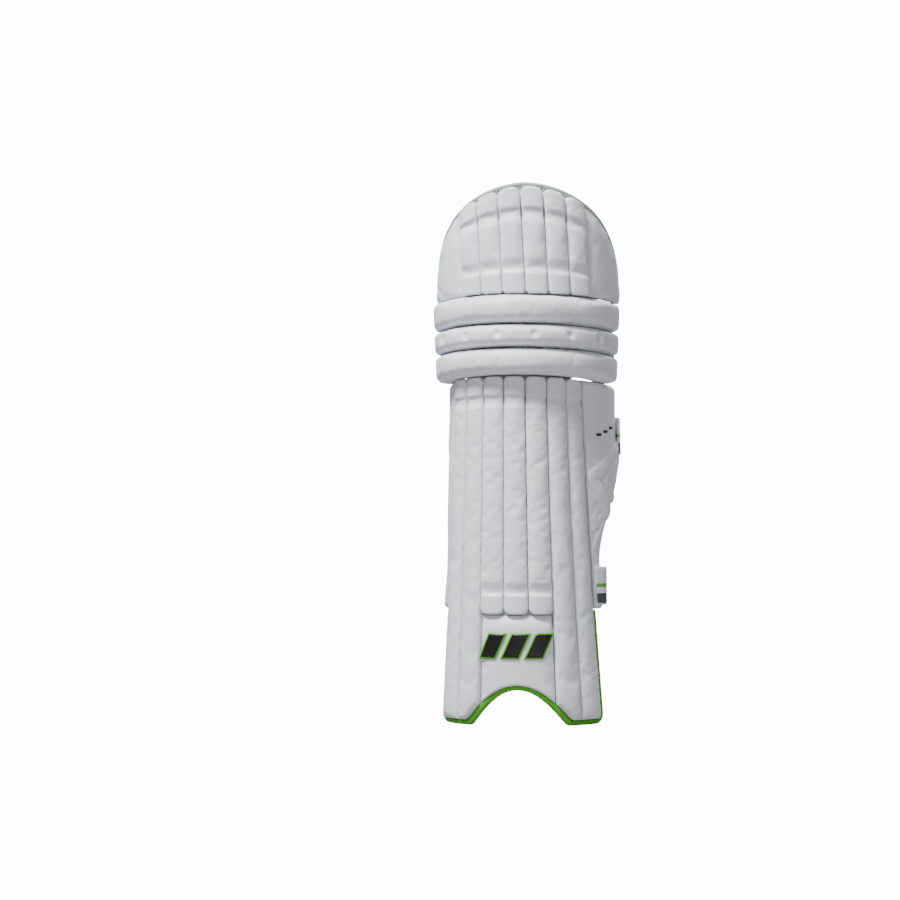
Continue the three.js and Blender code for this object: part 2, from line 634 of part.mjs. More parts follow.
function makeLoop({ plane, outerBar, bottom, width }) {
  const halfWide = (LOOP_BARS + BAR) / 2;
  const halfTall = width / 2 + 1 + BAR;
  const rounded = (Outline, wide, tall, radius) => {
    const outline = new Outline();
    outline.absarc(wide - radius, tall - radius, radius, 0, Math.PI / 2);
    outline.absarc(radius - wide, tall - radius, radius, Math.PI / 2, Math.PI);
    outline.absarc(radius - wide, radius - tall, radius, Math.PI, 1.5 * Math.PI);
    outline.absarc(wide - radius, radius - tall, radius, 1.5 * Math.PI, 2 * Math.PI);
    return outline;
  };
  const face = rounded(THREE.Shape, halfWide, halfTall, 3);
  face.holes.push(rounded(THREE.Path, halfWide - BAR, halfTall - BAR, 0.8));
  const loop = new THREE.ExtrudeGeometry(face, { depth: BAR, bevelEnabled: false, curveSegments: 3 });
  loop.translate(0, 0, -BAR / 2);
  loop.rotateX(Math.PI / 2);
  loop.translate(outerBar - LOOP_BARS / 2, plane, bottom + width / 2);
  return loop;
}

function makeStraps() {
  const { mid, low, knee } = STRAPS;
  const seat = STRAP_THICKNESS / 2 + CLEARANCE + 0.2;
  const bend = SHIN_RADIUS_TOP - 10;

  const midRun = (z) => [
    ...[48, 60, 70].map((w) => flat(sidePoint(-1, w, z, -seat))),
    ...arc(-bend, mid.plane - FOLD - 7, 7, 160, 90, 4), ...foldIn(mid),
  ];
  const lowRun = (z) => [
    ...[-3, 4, 9].map((w) => flat(shinPoint(-FACING_HALF - w, z, -BACKING_WALL - seat - 1))),
    at(-bend - 6, low.plane - FOLD - 1), at(-bend, low.plane - FOLD), ...foldIn(low),
  ];
  add('mid_strap', ribbon(midRun, mid.bottom, mid.width, 2), STRAP_WHITE);
  add('low_strap', ribbon(lowRun, low.bottom, low.width, 2), STRAP_WHITE);
  add('knee_strap', ribbon(() => [at(KNEE_CENTRE[0] - KNEE_RADIUS - 23, knee.plane - FOLD), ...foldIn(knee)], knee.bottom, knee.width), STRAP_WHITE);

  const outside = WING_THICKNESS + seat;
  const rear = ({ bottom, width }, w) => sidePoint(1, w, bottom + width / 2, outside).x;
  const midRear = rear(mid, WING_WIDTH[1]);
  const lowRear = rear(low, WING_WIDTH[0]);
  const midTab = (z) => [
    ...[0, 10, 20].map((w) => flat(sidePoint(1, mid.tabStart + w, z, outside))),
    at(midRear - 0.5, mid.plane + 2.6), at(midRear - 4.1, mid.plane + FOLD), ...foldOut(mid),
  ];
  const lowTab = (z) => [
    ...[0, 7, 13].map((w) => flat(sidePoint(1, low.tabStart + w, z, outside))),
    at(lowRear + 2.5, low.plane - 1), at(lowRear - 0.6, low.plane + 2),
    at(lowRear - 6.1, low.plane + FOLD), ...foldOut(low),
  ];
  const kneeTab = () => [
    at(KNEE_CENTRE[0] + KNEE_RADIUS + 23, knee.plane + FOLD - 1), at(KNEE_CENTRE[0] + KNEE_RADIUS + 19, knee.plane + FOLD), ...foldOut(knee),
  ];
  add('mid_tab', ribbon(midTab, mid.bottom, mid.width, 2), STRAP_WHITE);
  add('low_tab', ribbon(lowTab, low.bottom, low.width, 2), STRAP_WHITE);
  add('knee_tab', ribbon(kneeTab, knee.bottom, knee.width), STRAP_WHITE);

  Object.entries(STRAPS).forEach(([name, strap]) => {
    add(`${name}_loop`, makeLoop(strap), LOOP_WHITE);
    add(`${name}_tail`, makeTail(strap), STRAP_WHITE);
  });
}

// ---------------------------------------------------------------- assembly
makeBacking();
makeShinChannels();
makeInstep();
makeBinding();
makeSides();
makeCalf();
makeRolls();
makeKneeBand();
makeFlap();
makeGussets();
makeStraps();

// The origin is at the bottom middle of the whole pad's box.
const bounds = new THREE.Box3().setFromObject(pad);
const middle = bounds.getCenter(new THREE.Vector3());
pad.position.set(-middle.x, -middle.y, -bounds.min.z);

export default pad;
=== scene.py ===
"""A cricket batting pad for the left leg: covers, padding, webbing and print round its frame."""

import functools
import json
import math

import bmesh
import bpy
from mathutils import Matrix, Vector, noise
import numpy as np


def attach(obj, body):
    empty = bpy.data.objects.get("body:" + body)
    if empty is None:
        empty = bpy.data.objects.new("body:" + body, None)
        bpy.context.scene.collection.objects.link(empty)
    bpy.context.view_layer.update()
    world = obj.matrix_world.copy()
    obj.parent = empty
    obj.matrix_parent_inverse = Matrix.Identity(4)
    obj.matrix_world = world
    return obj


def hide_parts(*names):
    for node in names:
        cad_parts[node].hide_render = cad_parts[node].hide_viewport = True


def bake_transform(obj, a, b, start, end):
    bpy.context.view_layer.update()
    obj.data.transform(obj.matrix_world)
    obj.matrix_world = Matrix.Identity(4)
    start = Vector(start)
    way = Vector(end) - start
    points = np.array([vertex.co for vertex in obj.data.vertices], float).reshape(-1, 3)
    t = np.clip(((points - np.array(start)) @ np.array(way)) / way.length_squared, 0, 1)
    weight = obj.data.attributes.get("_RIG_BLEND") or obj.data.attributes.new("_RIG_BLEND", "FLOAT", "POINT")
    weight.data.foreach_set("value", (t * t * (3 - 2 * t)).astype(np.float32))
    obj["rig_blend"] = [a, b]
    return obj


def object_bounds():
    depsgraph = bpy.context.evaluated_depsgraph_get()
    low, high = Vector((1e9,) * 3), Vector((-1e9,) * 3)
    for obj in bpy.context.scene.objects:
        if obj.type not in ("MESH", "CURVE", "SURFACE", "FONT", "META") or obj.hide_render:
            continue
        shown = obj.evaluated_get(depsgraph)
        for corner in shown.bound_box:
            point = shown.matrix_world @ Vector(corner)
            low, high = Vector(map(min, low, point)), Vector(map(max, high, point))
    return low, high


bl_info = {
    "name": "Cricket leg pad",
    "version": (1, 0, 0),
    "blender": (4, 5, 0),
    "location": "View3D > Sidebar > Leg pad",
    "description": "Sews the covers, padding, straps and print of a cricket leg pad",
    "category": "Add Mesh",
}

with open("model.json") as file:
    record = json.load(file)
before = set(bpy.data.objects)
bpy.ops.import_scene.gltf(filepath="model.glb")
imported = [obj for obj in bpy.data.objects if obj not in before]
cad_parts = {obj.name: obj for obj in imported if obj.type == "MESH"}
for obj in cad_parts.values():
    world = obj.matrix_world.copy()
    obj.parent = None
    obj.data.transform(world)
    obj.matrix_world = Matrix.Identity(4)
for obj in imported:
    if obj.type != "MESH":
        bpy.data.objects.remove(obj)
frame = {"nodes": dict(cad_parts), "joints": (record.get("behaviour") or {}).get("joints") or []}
CAD_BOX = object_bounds()

# ---------------------------------------------------------------- sizes, in millimetres and degrees
MM = 0.001
CLEARANCE = 0.4
SEAM_GAP = 0.5

# the shin: half its facing's width along the backing, and the turn to the facing's edge
SHIN_TOP = 451
SHIN_FRONT = -86
SHIN_RADIUS_TOP = 85
SHIN_RADIUS_GAIN = 26
FACING_HALF = 90
FACING_TURN = 60
FACING_OVER = 1.6
BACKING_WALL = 3
BACKING_HALF = FACING_HALF + 4
CHANNELS = 7
CHANNEL_STEP = 2 * FACING_HALF / CHANNELS
CHANNEL_EDGE = 8
CHANNEL_CROWN = 14
KNOB_CROWN = 24

# the instep, the arch over it, and the binding along the bottom edge
INSTEP_TOP = 144
INSTEP_THICKNESS = 11.6
INSTEP_PUFF = [(0, 0.72), (0.5, 0.85), (0.84, 1), (1, 0.5)]
ARCH_HEIGHT = 46.7
ARCH_TURN = 34.5
ARCH_HALF = ARCH_TURN / FACING_TURN * FACING_HALF
BASE_REACH = 12
BASE_HALF = FACING_HALF + BASE_REACH
CORNER_RADIUS = 15
FOOT_CORNER = BASE_HALF - CORNER_RADIUS
BINDING_WIDTH = 7
BINDING_DEPTH = 12
BINDING_GAP = -0.6

# the wing and the inner side, which widen from one width to the other over the calf
SIDE_BOTTOM = 150
SIDE_OVER = 2.6
CALF_RISE = (205, 330)
WING_RADIUS = 106
WING_THICKNESS = 12
WING_TURN = 38
WING_WIDTH = (21, 98)
INNER_RADIUS = 92
INNER_THICKNESS = 10
INNER_TURN = (36, 60)
INNER_LIMIT = 92
INNER_WIDTH = (20, 90)
RIDGE_HEIGHT = 3

# the two cushions behind the shin and the strip between them
CUSHION_THICKNESS = 15
CUSHION_TURN = 24
CUSHION_INNER = CUSHION_TURN / FACING_TURN * FACING_HALF
CUSHION_SHORT = 34
CUSHION_TOP = SHIN_TOP - 16
CUSHION_LENGTH = CUSHION_TOP - SIDE_BOTTOM - 1
STRIP_HALF = CUSHION_INNER - 7

# the knee: its rolls' seams, from the shin up to the flap, and the padded band behind them
KNEE_CENTRE = (6.5, SHIN_FRONT + SHIN_RADIUS_TOP - 3)
KNEE_RADIUS = SHIN_RADIUS_TOP + 6
KNEE_TURN = 92
KNEE_LEAN = 26
ROLL_HEIGHTS = tuple(SHIN_TOP + rise for rise in (2.5, 37.5, 68, 106))
ROLL_SAG = (10, 9)
ROLL_GAP = 0.6
ROLL_CROWN = 30
ROLL_HEM = 1.2
DIMPLES = (-59, -35.6, -12.2, 11.2, 34.6, 58)
DIMPLE_RISE = 0.15
DIMPLE_DEPTH = 4.6
DIMPLE_SIZE = 4.2
BAND_WIDE, BAND_DEEP, BAND_THICKNESS = 80, 45.5, 13
BAND_HEIGHTS = (SHIN_TOP + 4, SHIN_TOP + 100)
BAND_TURN = 88
BAND_SAG = 4

# the top flap
FLAP_CENTRE = (7, KNEE_CENTRE[1] + 17)
FLAP_RADIUS = KNEE_RADIUS + 26
FLAP_TURN = 80
FLAP_MIDDLE = 4
FLAP_ENDS = (FLAP_MIDDLE - FLAP_TURN, FLAP_MIDDLE + FLAP_TURN)
FLAP_BASE = ROLL_HEIGHTS[3]
FLAP_RISE = 140
FLAP_LAP = 1.3
FLAP_CHANNELS = 6
FLAP_CHANNEL_TURN = 13.6
FLAP_CROWN = 22
FLAP_STRIP = 13
FLAP_SIDE_CROWN = 9
LINING_RIM, COVER_RIM, BOARD_RIM = 3, 1.4, -1.2
PIPING_RADIUS = 2

# the straps, their loops and the print
STRAP_THICKNESS = 1.6
TAIL_LENGTH = 108
FOLD = 4.4
BAR = 4.5
LOOP_BARS = 17.5
LOOP_CORNER = 3.4
STRAPS = {
    "mid": {"bottom": 350, "width": 50, "plane": 36, "bar": 94, "tab": 78, "holder": "outer_wing"},
    "low": {"bottom": 155, "width": 50, "plane": -22, "bar": 84, "tab": 8, "holder": "outer_wing"},
    "knee": {"bottom": 472, "width": 30, "plane": 8.2, "bar": 93, "holder": "middle_roll"},
}
PRINT_SLANT = 0.35
PRINT_BACK, PRINT_FACE = -0.6, 0.3

HINGE_HEIGHT = SHIN_TOP + 1
HINGE = next(joint for joint in frame["joints"] if joint["name"] == "knee_flex")["pos_m"]
ORIGIN = Vector(HINGE) - Vector((0, 0, HINGE_HEIGHT)) * MM


def metres(point):
    """A point of the pad's own frame, in millimetres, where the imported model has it."""
    return ORIGIN + point * MM


# ---------------------------------------------------------------- small maths
def lerp(a, b, share):
    return a + (b - a) * share


def clamp(value, low=0.0, high=1.0):
    return max(low, min(high, value))


def smooth(value, low, high):
    share = clamp((value - low) / (high - low))
    return share * share * (3 - 2 * share)


def crown(share, power):
    """1 over the middle of a channel and 0 at its seams; a higher power is a squarer channel."""
    return max(0.0, 1 - abs(2 * share - 1) ** power) ** (1 / power)


def curve(pairs, at):
    """A smooth line through a list of (distance, value) pairs."""
    last = len(pairs) - 1
    if at <= pairs[0][0]:
        return pairs[0][1]
    if at >= pairs[last][0]:
        return pairs[last][1]

    def slope(i):
        low, high = pairs[max(0, i - 1)], pairs[min(last, i + 1)]
        return (high[1] - low[1]) / (high[0] - low[0])

    i = next(k for k in range(last) if at <= pairs[k + 1][0])
    (x0, y0), (x1, y1) = pairs[i], pairs[i + 1]
    span = x1 - x0
    t = (at - x0) / span
    rise = (2 * t ** 3 - 3 * t ** 2 + 1) * y0 + (3 * t ** 2 - 2 * t ** 3) * y1
    return rise + span * ((t ** 3 - 2 * t ** 2 + t) * slope(i) + (t ** 3 - t ** 2) * slope(i + 1))


def dense_ends(share, strength=0.6):
    """Even shares moved towards both ends, where the form turns quickest."""
    return share - strength * math.sin(2 * math.pi * share) / (2 * math.pi)


def eased(share):
    """Even shares moved towards both sides as the cosine does."""
    return 0.5 - 0.5 * math.cos(math.pi * share)


def bell(distance, width):
    """1 at no distance, fading on both sides of it."""
    return math.exp(-(distance / width) ** 2)


def ripple(x, y, seed, size=1.0):
    """A smooth unevenness from -size to size."""
    return noise.noise(Vector((x, y, seed * 7.31))) * size


# ---------------------------------------------------------------- the pad's form
def shin_fall(z):
    """0 at the top of the shin and 1 at the floor, where it is widest."""
    return max(0.0, 1 - z / SHIN_TOP) ** 1.3


def facing_point(u, z, d):
    """A point on the shin: u along the backing from the middle, d out from it."""
    angle = math.radians(u / FACING_HALF * FACING_TURN)
    radius = SHIN_RADIUS_TOP + SHIN_RADIUS_GAIN * shin_fall(z)
    return Vector((
        4 * shin_fall(z) + (radius + d) * math.sin(angle),
        radius + SHIN_FRONT - (radius + d) * math.cos(angle),
        z,
    ))


def side_point(side, w, z, d):
    """A point on the wing (side 1) or the inner side (-1), w from the facing's edge."""
    outer = side > 0
    thickness = WING_THICKNESS if outer else INNER_THICKNESS
    radius = WING_RADIUS if outer else INNER_RADIUS
    start = math.radians(WING_TURN if outer else lerp(*INNER_TURN, smooth(z, 90, 200)))
    limit = math.pi if outer else math.radians(INNER_LIMIT)
    turn = min(w / radius, limit - start)
    straight = w - turn * radius
    angle = start + turn
    inside = radius - thickness
    edge = facing_point(side * FACING_HALF, z, 0)
    x = inside * (math.sin(angle) - math.sin(start)) + straight * math.cos(angle)
    y = inside * (math.cos(start) - math.cos(angle)) + straight * math.sin(angle)
    return Vector((
        edge.x + side * (x + d * math.sin(angle)),
        edge.y + y - d * math.cos(angle),
        z,
    ))


def shin_point(u, z, d):
    """A point on the facing or, past its edges, on one of the sides."""
    if abs(u) <= FACING_HALF:
        return facing_point(u, z, d)
    return side_point(math.copysign(1, u), abs(u) - FACING_HALF, z, d)


def side_width(widths, z):
    """How wide a side is at a height, between its narrow and its wide end."""
    share = clamp((z - CALF_RISE[0]) / (CALF_RISE[1] - CALF_RISE[0]))
    return lerp(*widths, share ** 1.8)


def side_top(side, w):
    """The top edge of a side, which follows the lowest roll round the knee."""
    point = side_point(side, w, SHIN_TOP, 0)
    turn = math.atan2(side * (point.x - KNEE_CENTRE[0]), KNEE_CENTRE[1] - point.y)
    return SHIN_TOP + SIDE_OVER - ROLL_SAG[0] * (1 - math.cos(turn))


def bottom_edge(u):
    """Height of the bottom edge: the arch over the instep, two flat feet, round corners."""
    at = abs(u)
    if at < ARCH_HALF:
        return ARCH_HEIGHT * (1 - (at / ARCH_HALF) ** 2) ** 1.2
    if at <= FOOT_CORNER:
        return 0.0
    over = min(at - FOOT_CORNER, CORNER_RADIUS * 0.99)
    return CORNER_RADIUS - math.sqrt(CORNER_RADIUS ** 2 - over ** 2)


@functools.lru_cache(maxsize=None)
def inner_edge(u):
    """Where the pieces that the binding frames may start."""
    clear = BINDING_WIDTH + BINDING_GAP
    shares = [i / 12 - 1 for i in range(25)]
    return max(bottom_edge(u + s * clear) + clear * math.sqrt(1 - s * s) for s in shares)


def facing_top(u):
    """The top edge of the facing, which sags with the lowest roll."""
    turn = math.radians(u / FACING_HALF * FACING_TURN)
    return SHIN_TOP + FACING_OVER - ROLL_SAG[0] * (1 - math.cos(turn))


def knee_point(angle, z, d):
    """A point on the knee's backing, round which the rolls lie and lean out as they rise."""
    turn = math.radians(angle)
    radius = KNEE_RADIUS + (z - ROLL_HEIGHTS[0] - 55) / KNEE_LEAN + d
    sag = lerp(*ROLL_SAG, clamp((z - ROLL_HEIGHTS[0]) / (ROLL_HEIGHTS[3] - ROLL_HEIGHTS[0])))
    return Vector((
        KNEE_CENTRE[0] + radius * math.sin(turn),
        KNEE_CENTRE[1] - radius * math.cos(turn),
        z - sag * (1 - math.cos(turn)),
    ))


def band_point(angle, z, d):
    """A point on the padded band behind the rolls, d out from its middle."""
    turn = math.radians(angle)
    return Vector((
        KNEE_CENTRE[0] + (BAND_WIDE + d) * math.sin(turn),
        KNEE_CENTRE[1] - (BAND_DEEP + d) * math.cos(turn),
        z - BAND_SAG * (1 - math.cos(turn)),
    ))


def flap_point(angle, z, d):
    """A point on the flap's backing, d out from it."""
    turn = math.radians(angle)
    radius = FLAP_RADIUS + d
    return Vector((
        FLAP_CENTRE[0] + radius * math.sin(turn),
        FLAP_CENTRE[1] - radius * math.cos(turn),
        z,
    ))


def flap_top(angle):
    """The flap's rounded rim."""
    share = min(abs(angle - FLAP_MIDDLE) / FLAP_TURN, 0.985)
    return FLAP_BASE + FLAP_RISE * (1 - share ** 1.75) ** 0.6


def flap_bottom(angle):
    """The flap's base, which follows the upper roll and laps a little over its ends."""
    sag = ROLL_SAG[1] * (1 - math.cos(math.radians(angle)))
    return FLAP_BASE - sag - FLAP_LAP * smooth(abs(angle), 35, 75)


def flap_share(angle, share, d, rim):
    """A point at a share of the flap's height, which ends rim below its edge."""
    return flap_point(angle, lerp(flap_bottom(angle) + 0.5, flap_top(angle) - rim, share), d)


def channel_edge(k, share):
    """The angle of a seam of the flap, which fans a little as it rises."""
    return lerp(4.5, 1, share) + (k - FLAP_CHANNELS / 2) * FLAP_CHANNEL_TURN


# ---------------------------------------------------------------- materials
THREADS = 5.2
HOLE_STEP = 2.6


class Field:
    """A value that varies over a surface: Python's operators on it add Math nodes."""

    def __init__(self, finish, socket):
        self.finish = finish
        self.socket = socket

    def maths(self, operation, *values):
        node = self.finish.node("Math", {"operation": operation}, dict(enumerate(values)))
        return Field(self.finish, node.outputs[0])

    def __add__(self, other):
        return self.maths("ADD", self, other)

    def __radd__(self, other):
        return self.maths("ADD", other, self)

    def __sub__(self, other):
        return self.maths("SUBTRACT", self, other)

    def __rsub__(self, other):
        return self.maths("SUBTRACT", other, self)

    def __mul__(self, other):
        return self.maths("MULTIPLY", self, other)

    def __rmul__(self, other):
        return self.maths("MULTIPLY", other, self)

    def __truediv__(self, other):
        return self.maths("DIVIDE", self, other)

    def __rtruediv__(self, other):
        return self.maths("DIVIDE", other, self)

    def __neg__(self):
        return self.maths("MULTIPLY", self, -1)

    def __abs__(self):
        return self.maths("ABSOLUTE", self)

    def sine(self):
        return self.maths("SINE", self)

    def least(self, other):
        return self.maths("MINIMUM", self, other)

    def most(self, other):
        return self.maths("MAXIMUM", self, other)

    def every(self, step):
        """The distance into the present step, from 0 to step."""
        return self.maths("FLOORED_MODULO", self, step)

    def rise(self, low, high):
        """0 below low and 1 above high, or the other way round where low is above high."""
        ends = {"Value": self, "From Min": min(low, high), "From Max": max(low, high)}
        ends.update({"To Min": float(low >= high), "To Max": float(low < high)})
        node = self.finish.node("MapRange", {"interpolation_type": "SMOOTHSTEP"}, ends)
        return Field(self.finish, node.outputs[0])

    def between(self, low, high, soft=0.15):
        """1 between two values that may vary too, and 0 outside them."""
        inside = (self - low).least(high - self)
        return inside.rise(-soft, soft)


class Finish:
    """One material, built from nodes around a Principled shader."""

    def __init__(self, name, **constants):
        self.material = bpy.data.materials.new(name)
        self.material.use_nodes = True
        self.tree = self.material.node_tree
        self.shader = self.tree.nodes["Principled BSDF"]
        for socket, value in constants.items():
            self.shader.inputs[socket.replace("_", " ")].default_value = value
        self.place = self.node("TexCoord").outputs["Object"]

    def node(self, kind, settings=None, inputs=None):
        """Adds a node: its settings are set first, and then the values or links of its sockets."""
        node = self.tree.nodes.new("ShaderNode" + kind)
        for setting, value in (settings or {}).items():
            setattr(node, setting, value)
        for key, value in (inputs or {}).items():
            self.feed(node.inputs[key], value)
        return node

    def feed(self, socket, value):
        source = value.socket if isinstance(value, Field) else value
        if isinstance(source, bpy.types.NodeSocket):
            self.tree.links.new(source, socket)
        else:
            socket.default_value = source

    def cut(self):
        """Distances across and along the flat cut piece, in millimetres."""
        laid = self.node("UVMap", {"uv_map": "cut"}).outputs[0]
        split = self.node("SeparateXYZ", None, {0: laid})
        return Field(self, split.outputs[0]) * 1000, Field(self, split.outputs[1]) * 1000

    def height(self):
        """Height above the floor, in millimetres."""
        split = self.node("SeparateXYZ", None, {0: self.place})
        return Field(self, split.outputs[2]) * 1000

    def layer(self, name):
        """A value that the mesh itself carries, such as how near a seam is."""
        return Field(self, self.node("Attribute", {"attribute_name": name}).outputs["Fac"])

    def at(self, x, y, z=0.0):
        """A place to read a pattern at."""
        return self.node("CombineXYZ", None, {0: x, 1: y, 2: z}).outputs[0]

    def noise(self, scale, vector=None, detail=3.0, roughness=0.55):
        inputs = {
            "Vector": vector or self.place, "Scale": scale,
            "Detail": detail, "Roughness": roughness,
        }
        return Field(self, self.node("TexNoise", None, inputs).outputs[0])

    def cells(self, scale, vector=None, randomness=1.0):
        """Distance from the middle of the nearest cell."""
        inputs = {"Vector": vector or self.place, "Scale": scale, "Randomness": randomness}
        node = self.node("TexVoronoi", {"feature": "F1"}, inputs)
        return Field(self, node.outputs["Distance"])

    def weave(self, across, along):
        """Threads over and under each other, as in a close plain weave."""
        return (across * THREADS).sine() * 0.5 + (along * THREADS).sine() * 0.5

    def mix(self, share, a, b):
        """Colour a where share is 0 and colour b where it is 1."""
        node = self.node("Mix", {"data_type": "RGBA"}, {0: share, 6: a, 7: b})
        return node.outputs[2]

    def show(self, colour=None, roughness=None, bump=None, depth=0.0005, strength=1.0):
        """Feeds what varies into the shader."""
        if colour is not None:
            self.feed(self.shader.inputs["Base Color"], colour)
        if roughness is not None:
            self.feed(self.shader.inputs["Roughness"], roughness)
        if bump is not None:
            inputs = {"Height": bump, "Distance": depth, "Strength": strength}
            self.feed(self.shader.inputs["Normal"], self.node("Bump", None, inputs).outputs[0])
        return self.material


def tone(colour, share):
    """A colour made darker or lighter."""
    return tuple(c * share for c in colour[:3]) + (1.0,)


def pad_colour(name):
    return tuple(getattr(bpy.context.scene.pad_colours, name))


def print_colours():
    """The lining's white, the print's green and the print's black."""
    return pad_colour("lining"), pad_colour("green"), pad_colour("black")


@functools.lru_cache(maxsize=None)
def facing_leather():
    """Soft white coated leather: fine grain, creases, gathers that run in from the seams, and painted shade
    by the seams.
    """
    white = pad_colour("facing")
    finish = Finish(
        "white_facing_leather", Specular_IOR_Level=0.42, Coat_Weight=0.06, Coat_Roughness=0.35,
    )
    across, along = finish.cut()
    side, end = finish.layer("side_seam"), finish.layer("end_seam")
    gathers = side * finish.noise(1.0, finish.at(across * 0.05, along * 0.34), 2.0)
    gathers = gathers + end * finish.noise(1.0, finish.at(across * 0.34, along * 0.05, 4.0), 2.0)
    creases = finish.noise(46, detail=4.0).rise(0.42, 0.62)
    grain = finish.cells(1150) * 0.16 + finish.noise(700, detail=2.0) * 0.1
    # painted shade: the white is darkened towards the seams, where the grooves lie, on top of a random
    # mottling of its tone
    seams = side.most(end)
    shade = finish.noise(16, detail=2.0).rise(0.25, 0.75) * 0.5 + seams * seams * 0.5
    colour = finish.mix(shade.least(1.0), tone(white, 1.0), tone(white, 0.93))
    rough = 0.4 + creases * 0.08 + finish.noise(300) * 0.1
    bump = gathers * 1.5 + creases * 0.16 + grain
    return finish.show(colour, rough, bump, depth=0.0008, strength=0.55)


@functools.lru_cache(maxsize=None)
def lining_cloth():
    """Close plain-woven lining cloth, with painted shade in the hollows of its folds."""
    white = pad_colour("lining")
    finish = Finish("white_lining_cloth", Sheen_Weight=0.15, Sheen_Roughness=0.5)
    across, along = finish.cut()
    weave = finish.weave(across, along)
    folds = finish.noise(38, detail=3.0)
    # painted shade: the cloth is darker where the folds' bump is low
    colour = finish.mix(folds, tone(white, 0.94), tone(white, 1.0))
    bump = weave * 0.12 + folds * 0.8
    return finish.show(colour, 0.72 + folds * 0.1, bump, depth=0.0007, strength=0.5)


@functools.lru_cache(maxsize=None)
def mesh_cloth():
    """Spacer mesh: rows of small holes over a soft knit, with painted shade in the holes and the fold
    hollows.
    """
    white = pad_colour("lining")
    finish = Finish("mesh_lining_cloth", Sheen_Weight=0.2, Sheen_Roughness=0.4)
    across, along = finish.cut()
    turn = 2 * math.pi / HOLE_STEP
    rows = (across * turn).sine() * (along * turn).sine()
    holes = abs(rows).rise(0.45, 0.9)
    folds = finish.noise(30, detail=3.0)
    # painted shade: the knit is darker where the folds' bump is low
    knit = finish.mix(folds, tone(white, 0.9), tone(white, 0.99))
    # painted shade: the holes are painted dark, as the shade inside them
    colour = finish.mix(holes * 0.8, knit, tone(white, 0.5))
    bump = folds * 1.2 - holes * 0.5 + finish.noise(900) * 0.15
    return finish.show(colour, 0.78 + holes * 0.1, bump, depth=0.0007, strength=0.6)


def bars_with_edge(x, z, left, right, low, high, count, edge, gap=0.26):
    """Masks of a row of leaning bars and of the area inside their coloured edge."""
    step = (right - left) / count
    lean = x - (z - (low + high) / 2) * PRINT_SLANT - left
    into = lean.every(step)
    row = z.between(low, high) * lean.between(0.0, step * count)
    width = step * (1 - gap)
    inner_row = z.between(low + edge, high - edge) * row
    return into.between(0.0, width) * row, into.between(edge, width - edge) * inner_row


# the flap lining's print: where its bands peak, how fast they fall, and their heights
SWEEP_PEAK = -48
SWEEP_FALL = 0.00112
SWEEP_TOP = 623
SWEEP_MIDDLE = 593.3
SWEEP_BLACK = 11.8


@functools.lru_cache(maxsize=None)
def printed_lining():
    """The flap's lining: white cloth printed with sweeping bands and leaning bars."""
    white, green, black = print_colours()
    finish = Finish("printed_flap_lining", Sheen_Weight=0.1, Sheen_Roughness=0.5)
    across, along = finish.cut()
    x = across + math.radians(FLAP_ENDS[0]) * FLAP_RADIUS
    z = finish.height()
    from_peak = x - SWEEP_PEAK
    sweep = from_peak * from_peak * SWEEP_FALL
    top = SWEEP_TOP - sweep
    middle = SWEEP_MIDDLE - sweep
    bottom = middle - SWEEP_BLACK
    inner = x.between(-180, 190, 1.0)
    thin_line = z.between(top, top + 1.6) * inner
    hatch = (x + z * 0.45).every(8.6).between(0.0, 1.5) * x.between(-64, 2, 0.5)
    green_band = z.between(middle, top) * inner
    black_band = z.between(bottom, middle) * inner
    wedge = z.between(FLAP_BASE + 2.2, bottom - 6.2) * x.between(-180, 60, 0.5)
    block = (x + (z - 632) * 0.25).between(-68, -38) * z.between(626, 640)
    area, core = bars_with_edge(x, z, -32, 58, 628, 672, 3, 1.7)
    colour = finish.mix(green_band.most(wedge), tone(white, 1.0), tone(green, 1.0))
    colour = finish.mix(green_band * hatch * 0.75, colour, tone(white, 0.9))
    colour = finish.mix(black_band.most(thin_line).most(block), colour, tone(black, 1.0))
    colour = finish.mix(area, colour, tone(green, 1.0))
    colour = finish.mix(core, colour, tone(black, 1.0))
    weave = finish.weave(across, along)
    folds = finish.noise(30, detail=3.0)
    colour = finish.mix(folds * 0.12, colour, tone(white, 0.6))
    return finish.show(colour, 0.55 + folds * 0.15, weave * 0.1 + folds, depth=0.0008, strength=0.5)


# the strip's blocks: their lowest and highest edge, half width, height and black edge
STRIP_BLOCKS = (206, 427, 17.5, 24.0, 1.4)


@functools.lru_cache(maxsize=None)
def printed_strip():
    """The strip down the back of the shin: green blocks with black edges, over rows of dots."""
    white, green, black = print_colours()
    finish = Finish("printed_shin_strip", Sheen_Weight=0.1, Sheen_Roughness=0.5)
    across, along = finish.cut()
    x = across - STRIP_HALF
    z = finish.height()
    low, high, half, tall, edge = STRIP_BLOCKS
    into = (z - abs(x) * 0.45 - low).every(31.5)
    block = into.between(0.0, tall) * abs(x).between(-1, half) * z.between(low, high)
    inside = into.between(edge, tall - edge) * abs(x).between(-1, half - edge)
    core = inside * z.between(low + edge, high - edge)
    fade = z.rise(296, 215)
    spots = finish.cells(0.3, finish.at(x + z * 0.3, z - x * 0.3), 0.0)
    dots = (spots - fade * 0.42).rise(0.06, -0.02) * z.between(200, 300)
    colour = finish.mix(dots, tone(white, 1.0), tone(black, 1.2))
    colour = finish.mix(block, colour, tone(black, 1.0))
    colour = finish.mix(core, colour, tone(green, 1.0))
    folds = finish.noise(40, detail=3.0)
    weave = finish.weave(across, along)
    return finish.show(colour, 0.6 + folds * 0.15, weave * 0.1 + folds, depth=0.0006, strength=0.5)


